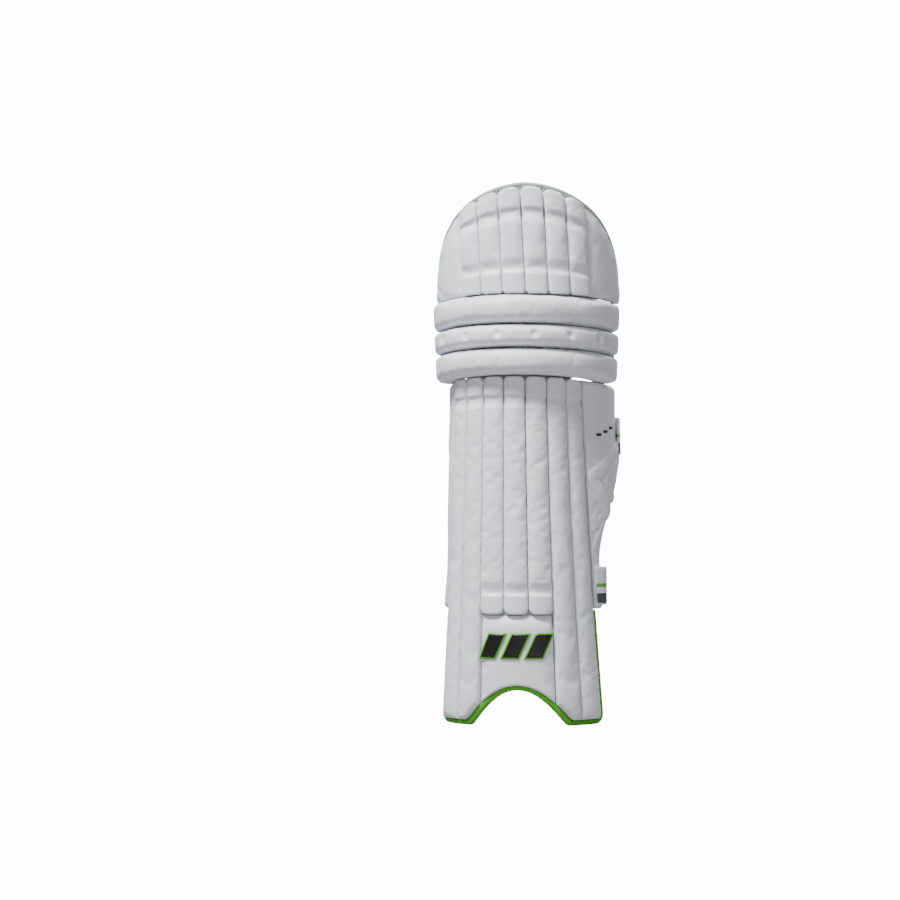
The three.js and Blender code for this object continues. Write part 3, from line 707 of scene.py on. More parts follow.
@functools.lru_cache(maxsize=None)
def grained_leather(name, colour, roughness=0.45, scale=900, shine=0.45):
    """Coloured coated leather with a pebbled grain and scuffed high spots."""
    finish = Finish(name, Specular_IOR_Level=shine)
    grain = finish.cells(scale)
    wear = finish.noise(90, detail=4.0).rise(0.55, 0.75)
    creases = finish.noise(60, detail=3.0)
    high = tuple(min(1.0, c * 1.12 + 0.006) for c in colour[:3]) + (1.0,)
    shade = finish.mix((wear * 0.6 + grain * 0.5).least(1.0), tone(colour, 0.86), high)
    bump = grain * 0.35 + creases * 0.6
    return finish.show(shade, roughness + wear * 0.12, bump, depth=0.0006, strength=0.5)


def black_leather():
    return grained_leather("black_lining_leather", pad_colour("black"), 0.55, 800, 0.2)


def green_leather():
    return grained_leather("green_binding_leather", pad_colour("green"), 0.42, 1000)


def black_cord():
    return grained_leather("black_piping_leather", pad_colour("black"), 0.4, 1400)


def grey_cord():
    return grained_leather("grey_piping_leather", pad_colour("piping"), 0.42, 1400)


@functools.lru_cache(maxsize=None)
def webbing_cloth(width):
    """Elastic webbing: woven ribs, with a green and a black stripe and pale thread."""
    white, green, black = pad_colour("webbing"), pad_colour("green"), pad_colour("black")
    finish = Finish(f"striped_webbing_{width}", Sheen_Weight=0.2, Sheen_Roughness=0.4)
    across, along = finish.cut()
    scale = width / STRAPS["mid"]["width"]
    down = width - along
    green_line = down.between(21.5 * scale, 26.2 * scale, 0.2)
    black_line = down.between(34.2 * scale, 47 * scale, 0.2)
    ribs = (across * 2 * math.pi / 1.1).sine()
    picks = (along * 2 * math.pi / 0.8).sine()
    colour = finish.mix(green_line, tone(white, 1.0), tone(green, 0.92))
    colour = finish.mix(black_line, colour, tone(black, 1.3))
    fuzz = finish.noise(500)
    colour = finish.mix((0.5 + ribs * 0.5) * 0.14 + fuzz * 0.08, colour, tone(white, 0.45))
    bump = ribs * 0.3 + picks * 0.15 + finish.noise(60) * 0.8
    return finish.show(colour, 0.72 + fuzz * 0.14, bump, depth=0.0005, strength=0.6)


@functools.lru_cache(maxsize=None)
def moulded_nylon():
    """Satin white plastic, a little cloudy."""
    finish = Finish("white_moulded_nylon", Subsurface_Weight=0.08, Subsurface_Scale=0.003)
    clouds = finish.noise(120, detail=2.0)
    colour = finish.mix(clouds, (0.8, 0.81, 0.81, 1.0), (0.87, 0.88, 0.88, 1.0))
    bump = clouds + finish.noise(900) * 0.1
    return finish.show(colour, 0.28 + clouds * 0.14, bump, depth=0.0002, strength=0.4)


@functools.lru_cache(maxsize=None)
def split_cane():
    """Split cane: long fibres down the leg, with darker rings at its nodes."""
    finish = Finish("split_cane")
    split = finish.node("SeparateXYZ", None, {0: finish.place})
    x, y, z = (Field(finish, split.outputs[i]) for i in range(3))
    fibres = finish.noise(1.0, finish.at(x * 900, y * 900, z * 14), 3.0)
    rings = (z * 1000).every(84).between(0.0, 1.6)
    colour = finish.mix(fibres, (0.38, 0.26, 0.11, 1.0), (0.66, 0.51, 0.27, 1.0))
    colour = finish.mix(rings, colour, (0.2, 0.12, 0.05, 1.0))
    return finish.show(colour, 0.5 + fibres * 0.2, fibres - rings, depth=0.0004)


@functools.lru_cache(maxsize=None)
def open_foam():
    """Cream foam with open cells, with painted shade in their pits."""
    finish = Finish("open_cell_foam", Subsurface_Weight=0.1, Subsurface_Scale=0.004)
    holes = finish.cells(850).rise(0.1, 0.6)
    # painted shade: darker towards the middle of each cell, where the bump sinks into a pit
    colour = finish.mix(holes, (0.55, 0.48, 0.34, 1.0), (0.82, 0.76, 0.6, 1.0))
    return finish.show(colour, 0.85 + holes * 0.1, holes, depth=0.0006)


@functools.lru_cache(maxsize=None)
def printed_film(name, colour):
    """A print of slightly rubbed film on the leather."""
    finish = Finish(name, Specular_IOR_Level=0.4)
    rubbed = finish.noise(420, detail=4.0).rise(0.6, 0.8)
    high = tuple(min(1.0, c * 1.3 + 0.02) for c in colour[:3]) + (1.0,)
    shade = finish.mix(rubbed, tone(colour, 1.0), high)
    return finish.show(shade, 0.36 + rubbed * 0.2, rubbed, depth=0.0001)


@functools.lru_cache(maxsize=None)
def twisted_thread(name, colour):
    """Sewing thread, with painted shade between its strands."""
    finish = Finish(name, Sheen_Weight=0.3, Sheen_Roughness=0.4)
    strands = finish.noise(2600, detail=2.0)
    # painted shade: darker where the strands' bump is low
    shade = finish.mix(strands, tone(colour, 0.7), tone(colour, 1.0))
    return finish.show(shade, 0.6 + strands * 0.2, strands, depth=0.0001)


@functools.lru_cache(maxsize=None)
def studio_floor():
    """A glossy white floor that the camera sees nearly as bright as the backdrop."""
    finish = Finish("studio_floor", Specular_IOR_Level=0.5)
    clouds = finish.noise(0.8, detail=2.0)
    colour = finish.mix(clouds, (0.2, 0.2, 0.2, 1.0), (0.24, 0.24, 0.24, 1.0))
    seen = Field(finish, finish.node("LightPath").outputs["Is Camera Ray"])
    glow = seen * bpy.context.scene.pad_stage.backdrop
    finish.feed(finish.shader.inputs["Emission Color"], (1.0, 1.0, 1.0, 1.0))
    finish.feed(finish.shader.inputs["Emission Strength"], glow)
    return finish.show(colour, 0.06 + clouds * 0.04)


# ---------------------------------------------------------------- making and keeping pieces
STUFFED = []  # the pieces that are puffed later, each with how far its cover may swell


def new_piece(name, bm):
    """An object with a finished mesh, shaded smooth."""
    mesh = bpy.data.meshes.new(name)
    bm.to_mesh(mesh)
    bm.free()
    mesh.shade_smooth()
    piece = bpy.data.objects.new(name, mesh)
    bpy.context.scene.collection.objects.link(piece)
    return piece


def keep(piece, finish, body, stands_for=()):
    """Gives a piece its material, and says which body it rides on and what it stands for."""
    piece.data.materials.append(finish)
    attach(piece, body)
    if stands_for:
        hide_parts(*stands_for)
    return piece


def round_off(piece, levels=1):
    rounding = piece.modifiers.new("Rounding", "SUBSURF")
    rounding.levels = levels
    rounding.render_levels = levels
    return piece


def hand_made(bm, place, amount, seed):
    """Puts every point in its place, the face's a little in or out, as hand-stuffed padding is."""
    side, end = bm.verts.layers.float["side_seam"], bm.verts.layers.float["end_seam"]
    for vert in bm.verts:
        s, t, q = vert.co
        point = place(s, t, q)
        if q > 0.5 and amount:
            out = point - place(s, t, 0.0)
            free = (1 - max(vert[side], vert[end]) * 0.6) * amount
            swell = noise.noise(point / 24 + Vector((seed, 0, 0))) + 0.5 * noise.noise(point / 9)
            point = point + out.normalized() * swell * free
        vert.co = metres(point)


def quilt(name, size, counts, place, uneven=0.0, stuffed=None, reach=7.0, levels=1):
    """A closed slab from a grid: place gives its point at (across, along, back 0 to face 1)."""
    bm = bmesh.new()
    cut = bm.loops.layers.uv.new("cut")
    side = bm.verts.layers.float.new("side_seam")
    end = bm.verts.layers.float.new("end_seam")
    sewn = bm.verts.layers.deform.verify()
    bmesh.ops.create_grid(bm, x_segments=counts[0], y_segments=counts[1], size=0.5)
    bmesh.ops.translate(bm, vec=(0.5, 0.5, 0), verts=bm.verts)
    grown = bmesh.ops.extrude_face_region(bm, geom=bm.faces[:], use_keep_orig=True)
    raised = [item for item in grown["geom"] if isinstance(item, bmesh.types.BMVert)]
    bmesh.ops.translate(bm, vec=(0, 0, 1), verts=raised)
    for face in bm.faces:
        for loop in face.loops:
            s, t, _ = loop.vert.co
            loop[cut].uv = (s * size[0] * MM, t * size[1] * MM)
    for vert in bm.verts:
        s, t, q = vert.co
        vert[side] = 1 - smooth(min(s, 1 - s) * size[0], 0, reach)
        vert[end] = 1 - smooth(min(t, 1 - t) * size[1], 0, reach)
        border = min(s, 1 - s, t, 1 - t) < 1e-4
        vert[sewn][0] = 1.0 if q < 0.5 or border else 0.0
    hand_made(bm, place, uneven, sum(map(ord, name)) % 97)
    bmesh.ops.recalc_face_normals(bm, faces=bm.faces)
    piece = new_piece(name, bm)
    piece.vertex_groups.new(name="sewn")
    if stuffed:
        STUFFED.append((piece, stuffed))
    elif levels:
        round_off(piece, levels)
    return piece


def cord(name, points, radius):
    """A round cord sewn along a line of points."""
    path = bpy.data.curves.new(name, "CURVE")
    path.dimensions = "3D"
    path.bevel_depth = radius * MM
    path.bevel_resolution = 3
    path.use_fill_caps = True
    spline = path.splines.new("POLY")
    spline.points.add(len(points) - 1)
    for knot, point in zip(spline.points, points):
        knot.co = (*metres(point), 1)
    holder = bpy.data.objects.new(name, path)
    bpy.context.scene.collection.objects.link(holder)
    solid = holder.evaluated_get(bpy.context.evaluated_depsgraph_get())
    bm = bmesh.new()
    bm.from_mesh(bpy.data.meshes.new_from_object(solid))
    bmesh.ops.remove_doubles(bm, verts=bm.verts, dist=1e-6)
    bmesh.ops.recalc_face_normals(bm, faces=bm.faces)
    bpy.data.objects.remove(holder)
    return new_piece(name, bm)


def stitches(name, lines, thick=0.35, long=2.6, pitch=4.2):
    """Rows of short raised stitches along lines of points."""
    bm = bmesh.new()
    for line in lines:
        travelled = pitch / 2
        for a, b in zip(line, line[1:]):
            length = (b - a).length
            while travelled < length:
                along = (b - a).normalized()
                turn = along.to_track_quat("X", "Z").to_matrix().to_4x4()
                size = Matrix.Diagonal((long / 2 * MM, thick * MM, thick * MM, 1))
                place = Matrix.Translation(metres(a + along * travelled)) @ turn @ size
                bmesh.ops.create_uvsphere(bm, u_segments=6, v_segments=4, radius=1, matrix=place)
                travelled += pitch
            travelled -= length
    return new_piece(name, bm)


def steps(low, high, count):
    """Even steps from low to high, with both ends."""
    return [lerp(low, high, i / count) for i in range(count + 1)]


# ---------------------------------------------------------------- shin
KNOB_PROFILE = [
    (0, 9), (3, 18), (10, KNOB_CROWN), (19, 22), (27, CHANNEL_CROWN - 3), (42, CHANNEL_CROWN),
]
FOOT_PROFILE = [(0, 9), (5, 12.5), (16, CHANNEL_CROWN)]


def round_end(distance, radius=9.0, least=0.5):
    """How much of its width a channel has at a distance from its rounded end."""
    if distance >= radius:
        return 1.0
    return lerp(least, 1.0, math.sqrt(1 - (1 - distance / radius) ** 2))


def channel_swell(share, height, strip, knob, tuck):
    """How far a channel stands out at a share of its width: rounder and tucked in at a knob."""
    full = smooth(height, strip, knob)
    edge = min(CHANNEL_EDGE, height - 1) - tuck * full
    return edge + (height - edge) * crown(share, lerp(2.4, 1.9, full))


def shin_channel(k):
    left = -FACING_HALF + k * CHANNEL_STEP + SEAM_GAP / 2
    right = left + CHANNEL_STEP - SEAM_GAP
    middle = (left + right) / 2
    over_instep = 1 < k < CHANNELS - 2
    ends = KNOB_PROFILE if over_instep else FOOT_PROFILE

    def bottom(u):
        return (INSTEP_TOP if over_instep else inner_edge(u)) + 1

    length = SHIN_TOP - bottom(middle)

    def place(s, t, q):
        share = eased(s)
        at = dense_ends(t) * length
        width = round_end(length - at) * (round_end(at) if over_instep else 1.0)
        neck = 1 - 0.05 * bell(length - at - 31, 6)
        u = lerp(left, right, 0.5 + (share - 0.5) * width * neck)
        z = lerp(bottom(u), facing_top(u), at / length)
        if q < 0.5:
            return facing_point(u, z, CLEARANCE)
        height = min(curve(ends, at), curve(KNOB_PROFILE, length - at))
        return facing_point(u, z, channel_swell(share, height, CHANNEL_CROWN, KNOB_CROWN, 2.5))

    node = f"shin_channel_{k + 1}"
    piece = quilt(f"{node}_cover", (CHANNEL_STEP, length), (12, 132), place, 0.5, stuffed=2.2)
    keep(piece, facing_leather(), "shin_guard", [node])


class LEGPAD_OT_shin_facing(bpy.types.Operator):
    """Sew the seven stuffed channels of the shin on their backing"""

    bl_idname = "leg_pad.shin_facing"
    bl_label = "Shin facing"

    def execute(self, context):
        for k in range(CHANNELS):
            shin_channel(k)

        def backing(s, t, q):
            u = lerp(-BACKING_HALF, BACKING_HALF, s)
            z = lerp(inner_edge(u), facing_top(u), t)
            return shin_point(u, z, 0.0 if q > 0.5 else -BACKING_WALL)

        piece = quilt("shin_backing_board", (2 * BACKING_HALF, SHIN_TOP), (60, 60), backing)
        keep(piece, lining_cloth(), "shin_guard", ["shin_backing"])
        return {"FINISHED"}


def instep_depth(s, t):
    """How far the instep's face stands out at a share of its width and height."""
    return CLEARANCE + INSTEP_THICKNESS * curve(INSTEP_PUFF, t) * (0.5 + 0.5 * crown(s, 4))


def instep_face(s, t, q):
    half = 1.5 * CHANNEL_STEP - SEAM_GAP / 2
    u = lerp(-half, half, s)
    z = lerp(inner_edge(u), INSTEP_TOP, t)
    return facing_point(u, z, instep_depth(s, t) if q > 0.5 else CLEARANCE)


def on_instep(u, z, d):
    """A point d out from the instep's face."""
    half = 1.5 * CHANNEL_STEP
    low = inner_edge(u)
    t = clamp((z - low) / (INSTEP_TOP - low))
    return facing_point(u, z, instep_depth((u + half) / (2 * half), t) + d)


def leaning_bar(name, left, width, low, high, lift, place):
    """A thin printed bar that leans, laid on a face."""
    def on_face(s, t, q):
        across = left + width * s + (t - 0.5) * (high - low) * PRINT_SLANT
        return place(across, lerp(low, high, t), lift + (PRINT_FACE if q > 0.5 else PRINT_BACK))

    return quilt(name, (width, high - low), (10, 14), on_face, levels=0)


class LEGPAD_OT_instep(bpy.types.Operator):
    """Sew the instep's face, its printed bars and its black lining"""

    bl_idname = "leg_pad.instep"
    bl_label = "Instep"

    def execute(self, context):
        face = quilt("instep_face", (76, 95), (28, 36), instep_face, 0.4, stuffed=1.6, reach=9)
        keep(face, facing_leather(), "shin_guard", ["instep_panel"])

        green = printed_film("green_print", pad_colour("green"))
        black = printed_film("black_print", pad_colour("black"))
        for i, left in enumerate((-33, -10, 13)):
            edge = leaning_bar(f"instep_bar_{i + 1}_edge", left, 18.5, 88, 122, 1.9, on_instep)
            keep(edge, green, "shin_guard")
            core = leaning_bar(f"instep_bar_{i + 1}", left + 1.6, 15.3, 90, 120, 2.15, on_instep)
            keep(core, black, "shin_guard")

        def lining(s, t, q):
            u = lerp(-BACKING_HALF, BACKING_HALF, s)
            z = lerp(inner_edge(u), SIDE_BOTTOM - 2, t)
            seams = sum(bell(abs(u) - at, 1.7) for at in (46, 68, 84))
            puffed = 5 - 1.8 * seams - 1.6 * (1 - crown(s, 8) * crown(t, 6))
            back = -BACKING_WALL - CLEARANCE
            return shin_point(u, z, back - puffed if q > 0.5 else back)

        piece = quilt("instep_back_lining", (2 * BACKING_HALF, 130), (120, 44), lining, 0.25)
        keep(piece, black_leather(), "shin_guard", ["instep_lining"])
        return {"FINISHED"}


@functools.lru_cache(maxsize=None)
def binding_line():
    """The binding's outer line, from the top of one ankle side to the top of the other."""
    right = [Vector((BASE_HALF, z)) for z in steps(SIDE_BOTTOM - 1, CORNER_RADIUS + 4, 26)]
    for turn in steps(0, 90, 10):
        angle = math.radians(turn)
        u = FOOT_CORNER + CORNER_RADIUS * math.cos(angle)
        right.append(Vector((u, CORNER_RADIUS * (1 - math.sin(angle)))))
    right += [Vector((u, 0)) for u in steps(FOOT_CORNER, ARCH_HALF, 8)[1:-1]]
    right += [Vector((u, bottom_edge(u))) for u in steps(ARCH_HALF, 0, 26)]
    left = [Vector((-p.x, p.y)) for p in reversed(right[:-1])]
    return list(reversed(right + left))


def binding_point(i, inward, d):
    """A point inward from the binding's outer line, at that line's place i."""
    line = binding_line()
    before, after = line[max(0, i - 2)], line[min(len(line) - 1, i + 2)]
    along = (after - before).normalized()
    point = line[i] + Vector((-along.y, along.x)) * inward
    return shin_point(point.x, max(0.0, point.y), d)


class LEGPAD_OT_binding(bpy.types.Operator):
    """Fold the green binding over the edges of the feet, the arch and the ankle"""

    bl_idname = "leg_pad.binding"
    bl_label = "Binding"

    def execute(self, context):
        last = len(binding_line()) - 1
        half = BINDING_DEPTH / 2

        def place(s, t, q):
            rounded = math.sqrt(1 - (1 - clamp(t / 0.6)) ** 2 * 0.7)
            rounded *= 1 - 0.16 * smooth(t, 0.7, 1)
            depth = half * rounded + ripple(s * last * 0.9, t, 3, 0.25)
            return binding_point(round(s * last), t * BINDING_WIDTH, depth if q > 0.5 else -depth)

        piece = quilt("green_edge_binding", (620, BINDING_WIDTH), (last, 5), place, levels=1)
        keep(piece, green_leather(), "shin_guard", ["instep_binding"])
        rows = [
            [binding_point(i, BINDING_WIDTH - 1.3, d) for i in range(2, last - 1)]
            for d in (half * 0.93, -half * 0.93)
        ]
        thread = stitches("binding_stitches", rows, pitch=3.8, long=2.4)
        green = twisted_thread("green_thread", pad_colour("green"))
        keep(thread, green, "shin_guard")
        return {"FINISHED"}


# ---------------------------------------------------------------- sides
def to_line(point, start, end):
    """Distance from a point to a straight line between two others."""
    along = end - start
    share = clamp((point - start).dot(along) / along.length_squared)
    return (point - start - along * share).length


# the chevrons: each one's upper end, apex and lower end, half width and height
CHEVRONS = (
    ((Vector((78, 360)), Vector((13, 321)), Vector((46, 270))), 10.5, RIDGE_HEIGHT),
    ((Vector((92, 349)), Vector((39, 318)), Vector((66, 282))), 7.5, RIDGE_HEIGHT * 0.8),
)


def chevron_relief(w, z):
    """Height of the wing's two nested ridges, with the stitched grooves that edge them."""
    point = Vector((w, z))
    relief = 0.0
    for (high, apex, low), half, height in CHEVRONS:
        away = min(to_line(point, high, apex), to_line(point, apex, low))
        ridge = math.sqrt(max(0.0, 1 - (away / half) ** 2)) if away < half else 0.0
        groove = bell(away - half - 0.6, 1.8)
        relief = max(relief, height * ridge) - 1.7 * groove
    return relief


def side_panel(side, widths, thickness, relief):
    """Places the padded face of a side, thinner towards its free edge."""
    def place(s, t, q):
        z_mid = lerp(SIDE_BOTTOM, SHIN_TOP - 11, t)
        w = lerp(5, side_width(widths, z_mid), s)
        z = lerp(SIDE_BOTTOM, side_top(side, w), t)
        outer = lerp(thickness, thickness - 4, s ** 6)
        edge = (0.6 + 0.4 * smooth(min(t, 1 - t), 0, 0.02)) * (0.8 + 0.2 * smooth(s, 0, 0.04))
        return side_point(side, w, z, outer * edge + relief(w, z) if q > 0.5 else 0.0)

    return place


class LEGPAD_OT_sides(bpy.types.Operator):
    """Sew the outer wing with its raised chevrons, and the inner side"""

    bl_idname = "leg_pad.sides"
    bl_label = "Sides"

    def execute(self, context):
        wing = side_panel(1, WING_WIDTH, WING_THICKNESS, chevron_relief)
        piece = quilt("wing_face", (93, 290), (46, 140), wing, 0.5, stuffed=1.2, reach=9)
        nodes = ["wing_panel", "wing_chevron_upper", "wing_chevron_lower"]
        keep(piece, facing_leather(), "outer_wing", nodes)
        inner = side_panel(-1, INNER_WIDTH, INNER_THICKNESS, lambda w, z: 0.0)
        piece = quilt("inner_side_face", (85, 290), (30, 96), inner, 0.6, stuffed=1.6, reach=9)
        keep(piece, facing_leather(), "shin_guard", ["inner_side_panel"])
        black = printed_film("black_print", pad_colour("black"))
        on_wing = functools.partial(side_point, 1)
        lift = WING_THICKNESS + 0.9
        for i, (w, z) in enumerate(((24, 377), (38, 381), (52, 386))):
            dash = leaning_bar(f"wing_dash_{i + 1}", w, 9, z - 1.6, z + 1.6, lift, on_wing)
            keep(dash, black, "outer_wing")
        return {"FINISHED"}


def cushion_ends(side, z):
    """Where a cushion starts near the strip and ends near the side's free edge."""
    widths = WING_WIDTH if side > 0 else INNER_WIDTH
    reach = FACING_HALF + side_width(widths, z) - CUSHION_SHORT
    near = shin_point(side * CUSHION_INNER, z, -BACKING_WALL - 1.6)
    far = shin_point(side * reach, z, -BACKING_WALL - 1.6)
    return near, far


def cushion(side):
    """Places the cushion behind one side, standing straight back from where it lies."""
    def place(s, t, q):
        share = eased(s)
        z = lerp(SIDE_BOTTOM + 1, CUSHION_TOP, dense_ends(t))
        near, far = cushion_ends(side, z)
        base = near.lerp(far, share)
        along = far - near
        along.z = 0
        along.normalize()
        back = Vector((-side * along.y, side * along.x, 0))
        from_end = min(z - SIDE_BOTTOM - 1, CUSHION_TOP - z)
        full = curve([(0, 0.35), (5, 0.75), (14, 1)], from_end)
        depth = CUSHION_THICKNESS * full * (0.35 + 0.65 * crown(share, 3.4))
        return base + back * (depth if q > 0.5 else 0.0)

    return place


class LEGPAD_OT_calf(bpy.types.Operator):
    """Lay the two mesh cushions behind the shin, the strip between them and the black piping"""

    bl_idname = "leg_pad.calf"
    bl_label = "Calf cushions"

    def execute(self, context):
        for side, name in ((-1, "inner"), (1, "outer")):
            node = f"calf_cushion_{name}"
            piece = quilt(
                f"{node}_cover", (58, CUSHION_LENGTH), (18, 84), cushion(side),
                0.9, stuffed=2.4, reach=9,
            )
            keep(piece, mesh_cloth(), "shin_guard", [node])

        line = []
        for z in steps(SIDE_BOTTOM + 4, CUSHION_TOP - 4, 80):
            reach = FACING_HALF + side_width(WING_WIDTH, z) - CUSHION_SHORT + 5
            on_backing = 1 - smooth(reach, BACKING_HALF + 1, BACKING_HALF + 8)
            line.append(shin_point(reach, z, -2.6 - BACKING_WALL * on_backing))
        piece = cord("black_cushion_piping", line, 1.9)
        keep(piece, black_cord(), "shin_guard", ["cushion_piping"])

        def strip(s, t, q):
            u, z = lerp(-STRIP_HALF, STRIP_HALF, s), lerp(SIDE_BOTTOM + 1, CUSHION_TOP, t)
            back = -BACKING_WALL - 1.2
            return facing_point(u, z, back - 4 * crown(s, 6) ** 0.6 - 0.4 if q > 0.5 else back)

        size = (2 * STRIP_HALF, CUSHION_LENGTH)
        piece = quilt("printed_shin_strip", size, (24, 96), strip, 0.35)
        keep(piece, printed_strip(), "shin_guard", ["shin_strip"])
        return {"FINISHED"}


# ---------------------------------------------------------------- knee
def knee_roll(name, i):
    bottom = ROLL_HEIGHTS[i] + ROLL_GAP / 2
    top = ROLL_HEIGHTS[i + 1] - ROLL_GAP / 2
    middle, half = (top + bottom) / 2, (top - bottom) / 2
    dimpled = name == "middle"

    def dimple(angle, z):
        depth = 0.0
        for at in DIMPLES:
            across = math.radians(angle - at) * (KNEE_RADIUS + ROLL_CROWN)
            away = Vector((across, z - middle - DIMPLE_RISE * half)).length
            depth += DIMPLE_DEPTH * bell(away, DIMPLE_SIZE)
        return depth

    def place(s, t, q):
        angle = lerp(-KNEE_TURN, KNEE_TURN, dense_ends(s, 0.35))
        if q < 0.5:
            return knee_point(angle, middle + lerp(-half, half, t) * 0.96, 0.0)
        turn = lerp(-math.pi / 2, math.pi / 2, t)
        power = 2 / lerp(2.8, 5, smooth(abs(angle), 30, KNEE_TURN))
        closing = min(1.0, 0.76 + 0.24 * math.sqrt(clamp((KNEE_TURN - abs(angle)) / 3.5)))
        d = ROLL_HEM + (ROLL_CROWN - ROLL_HEM) * max(0.0, math.cos(turn)) ** power * closing
        z = middle + half * math.copysign(abs(math.sin(turn)) ** power, turn)
        if dimpled:
            d -= dimple(angle, z)
        return knee_point(angle, z, d)

    piece = quilt(f"{name}_knee_roll", (380, 70), (170, 26), place, 0.45, stuffed=1.4, reach=8)
    node = f"{name}_roll_cover"
    keep(piece, facing_leather(), f"{name}_roll", [node])
    if dimpled:
        z = middle + DIMPLE_RISE * half
        lines = [
            [knee_point(at + turn, z, ROLL_CROWN - 4.0) for turn in (-0.8, 0.8)]
            for at in DIMPLES
        ]
        thread = stitches("middle_roll_tacks", lines, thick=0.55, long=3.0, pitch=3.2)
        grey = twisted_thread("grey_thread", (0.35, 0.37, 0.37, 1.0))
        keep(thread, grey, "middle_roll")


class LEGPAD_OT_knee_rolls(bpy.types.Operator):
    """Stuff the three rolls over the knee, with six tacks along the middle one"""

    bl_idname = "leg_pad.knee_rolls"
    bl_label = "Knee rolls"

    def execute(self, context):
        for i, name in enumerate(("lower", "middle", "upper")):
            knee_roll(name, i)
        return {"FINISHED"}


class LEGPAD_OT_knee_cushion(bpy.types.Operator):
    """Gather the padded band that sits behind the rolls"""

    bl_idname = "leg_pad.knee_cushion"
    bl_label = "Knee cushion"

    def execute(self, context):
        low, high = BAND_HEIGHTS

        def place(s, t, q):
            angle = lerp(-BAND_TURN, BAND_TURN, s)
            z = lerp(low, high, dense_ends(t))
            full = curve([(0, 0.32), (4, 0.7), (16, 1)], min(z - low, high - z))
            folds = 0.9 * math.sin(angle * 1.15) + ripple(angle * 0.35, z * 0.1, 5, 1.4)
            gathers = bell(z - low - 7, 9) * folds
            ends = 0.5 + 0.5 * crown(s, 10)
            depth = BAND_THICKNESS / 2 * full * ends
            return band_point(angle, z, depth if q < 0.5 else -depth - gathers)

        piece = quilt("knee_band_cushion", (190, 98), (110, 34), place, 0.7, stuffed=2.0, reach=12)
        keep(piece, facing_leather(), "middle_roll", ["knee_cushion"])
        return {"FINISHED"}


# ---------------------------------------------------------------- flap
FLAP_KNOBS = [
    (0, 7), (0.025, 15), (0.09, FLAP_CROWN), (0.16, 19.5),
    (0.225, FLAP_STRIP - 3), (0.34, FLAP_STRIP),
]
FLAP_SEAM = SEAM_GAP / 2 / math.radians(FLAP_RADIUS)


def flap_channel(k):
    length = FLAP_RISE - LINING_RIM

    def place(s, t, q):
        share, along = eased(s), dense_ends(t, 0.5)
        width = round_end((1 - along) * length, 12, 0.35) * round_end(along * length, 7, 0.6)
        neck = 1 - 0.07 * bell(1 - along - 0.25, 0.05)
        mid = 0.5 + (share - 0.5) * width * neck
        left, right = channel_edge(k, along) + FLAP_SEAM, channel_edge(k + 1, along) - FLAP_SEAM
        angle = lerp(left, right, mid)
        if q < 0.5:
            return flap_share(angle, along, CLEARANCE, COVER_RIM)
        height = min(curve(FLAP_KNOBS, along), curve(FLAP_KNOBS, 1 - along))
        swell = channel_swell(share, height, FLAP_STRIP, FLAP_CROWN, 3)
        return flap_share(angle, along, swell, COVER_RIM)

    node = f"flap_channel_{k + 1}"
    piece = quilt(f"{node}_cover", (28, length), (14, 56), place, 0.5, stuffed=2.0)
    keep(piece, facing_leather(), "top_flap", [node])


def flap_side(name, end, k):
    """A smooth side of the flap, from its end to the seam k of the channels."""
    def place(s, t, q):
        share, along = eased(s), eased(t)
        near = channel_edge(k, along) + (FLAP_SEAM if k else -FLAP_SEAM)
        angle = lerp(near, end, share) if k else lerp(end, near, share)
        full = crown(along, 3) * crown(share, 3) * (1 - 0.3 * (share if k else 1 - share))
        swell = 3 + (FLAP_SIDE_CROWN - 3) * full
        return flap_share(angle, along, swell if q > 0.5 else CLEARANCE, COVER_RIM)

    piece = quilt(f"{name}_cover", (60, 110), (30, 50), place, 0.6, stuffed=1.8, reach=10)
    keep(piece, facing_leather(), "top_flap", [name])


def rim_point(angle, off, d):
    """A point just outside the flap's rim."""
    width = FLAP_RADIUS * math.radians(1)
    rise = (flap_top(angle + 0.5) - flap_top(angle - 0.5)) / width
    out = off / math.sqrt(1 + rise * rise)
    return flap_point(angle - out * rise / width, flap_top(angle) + out, d)


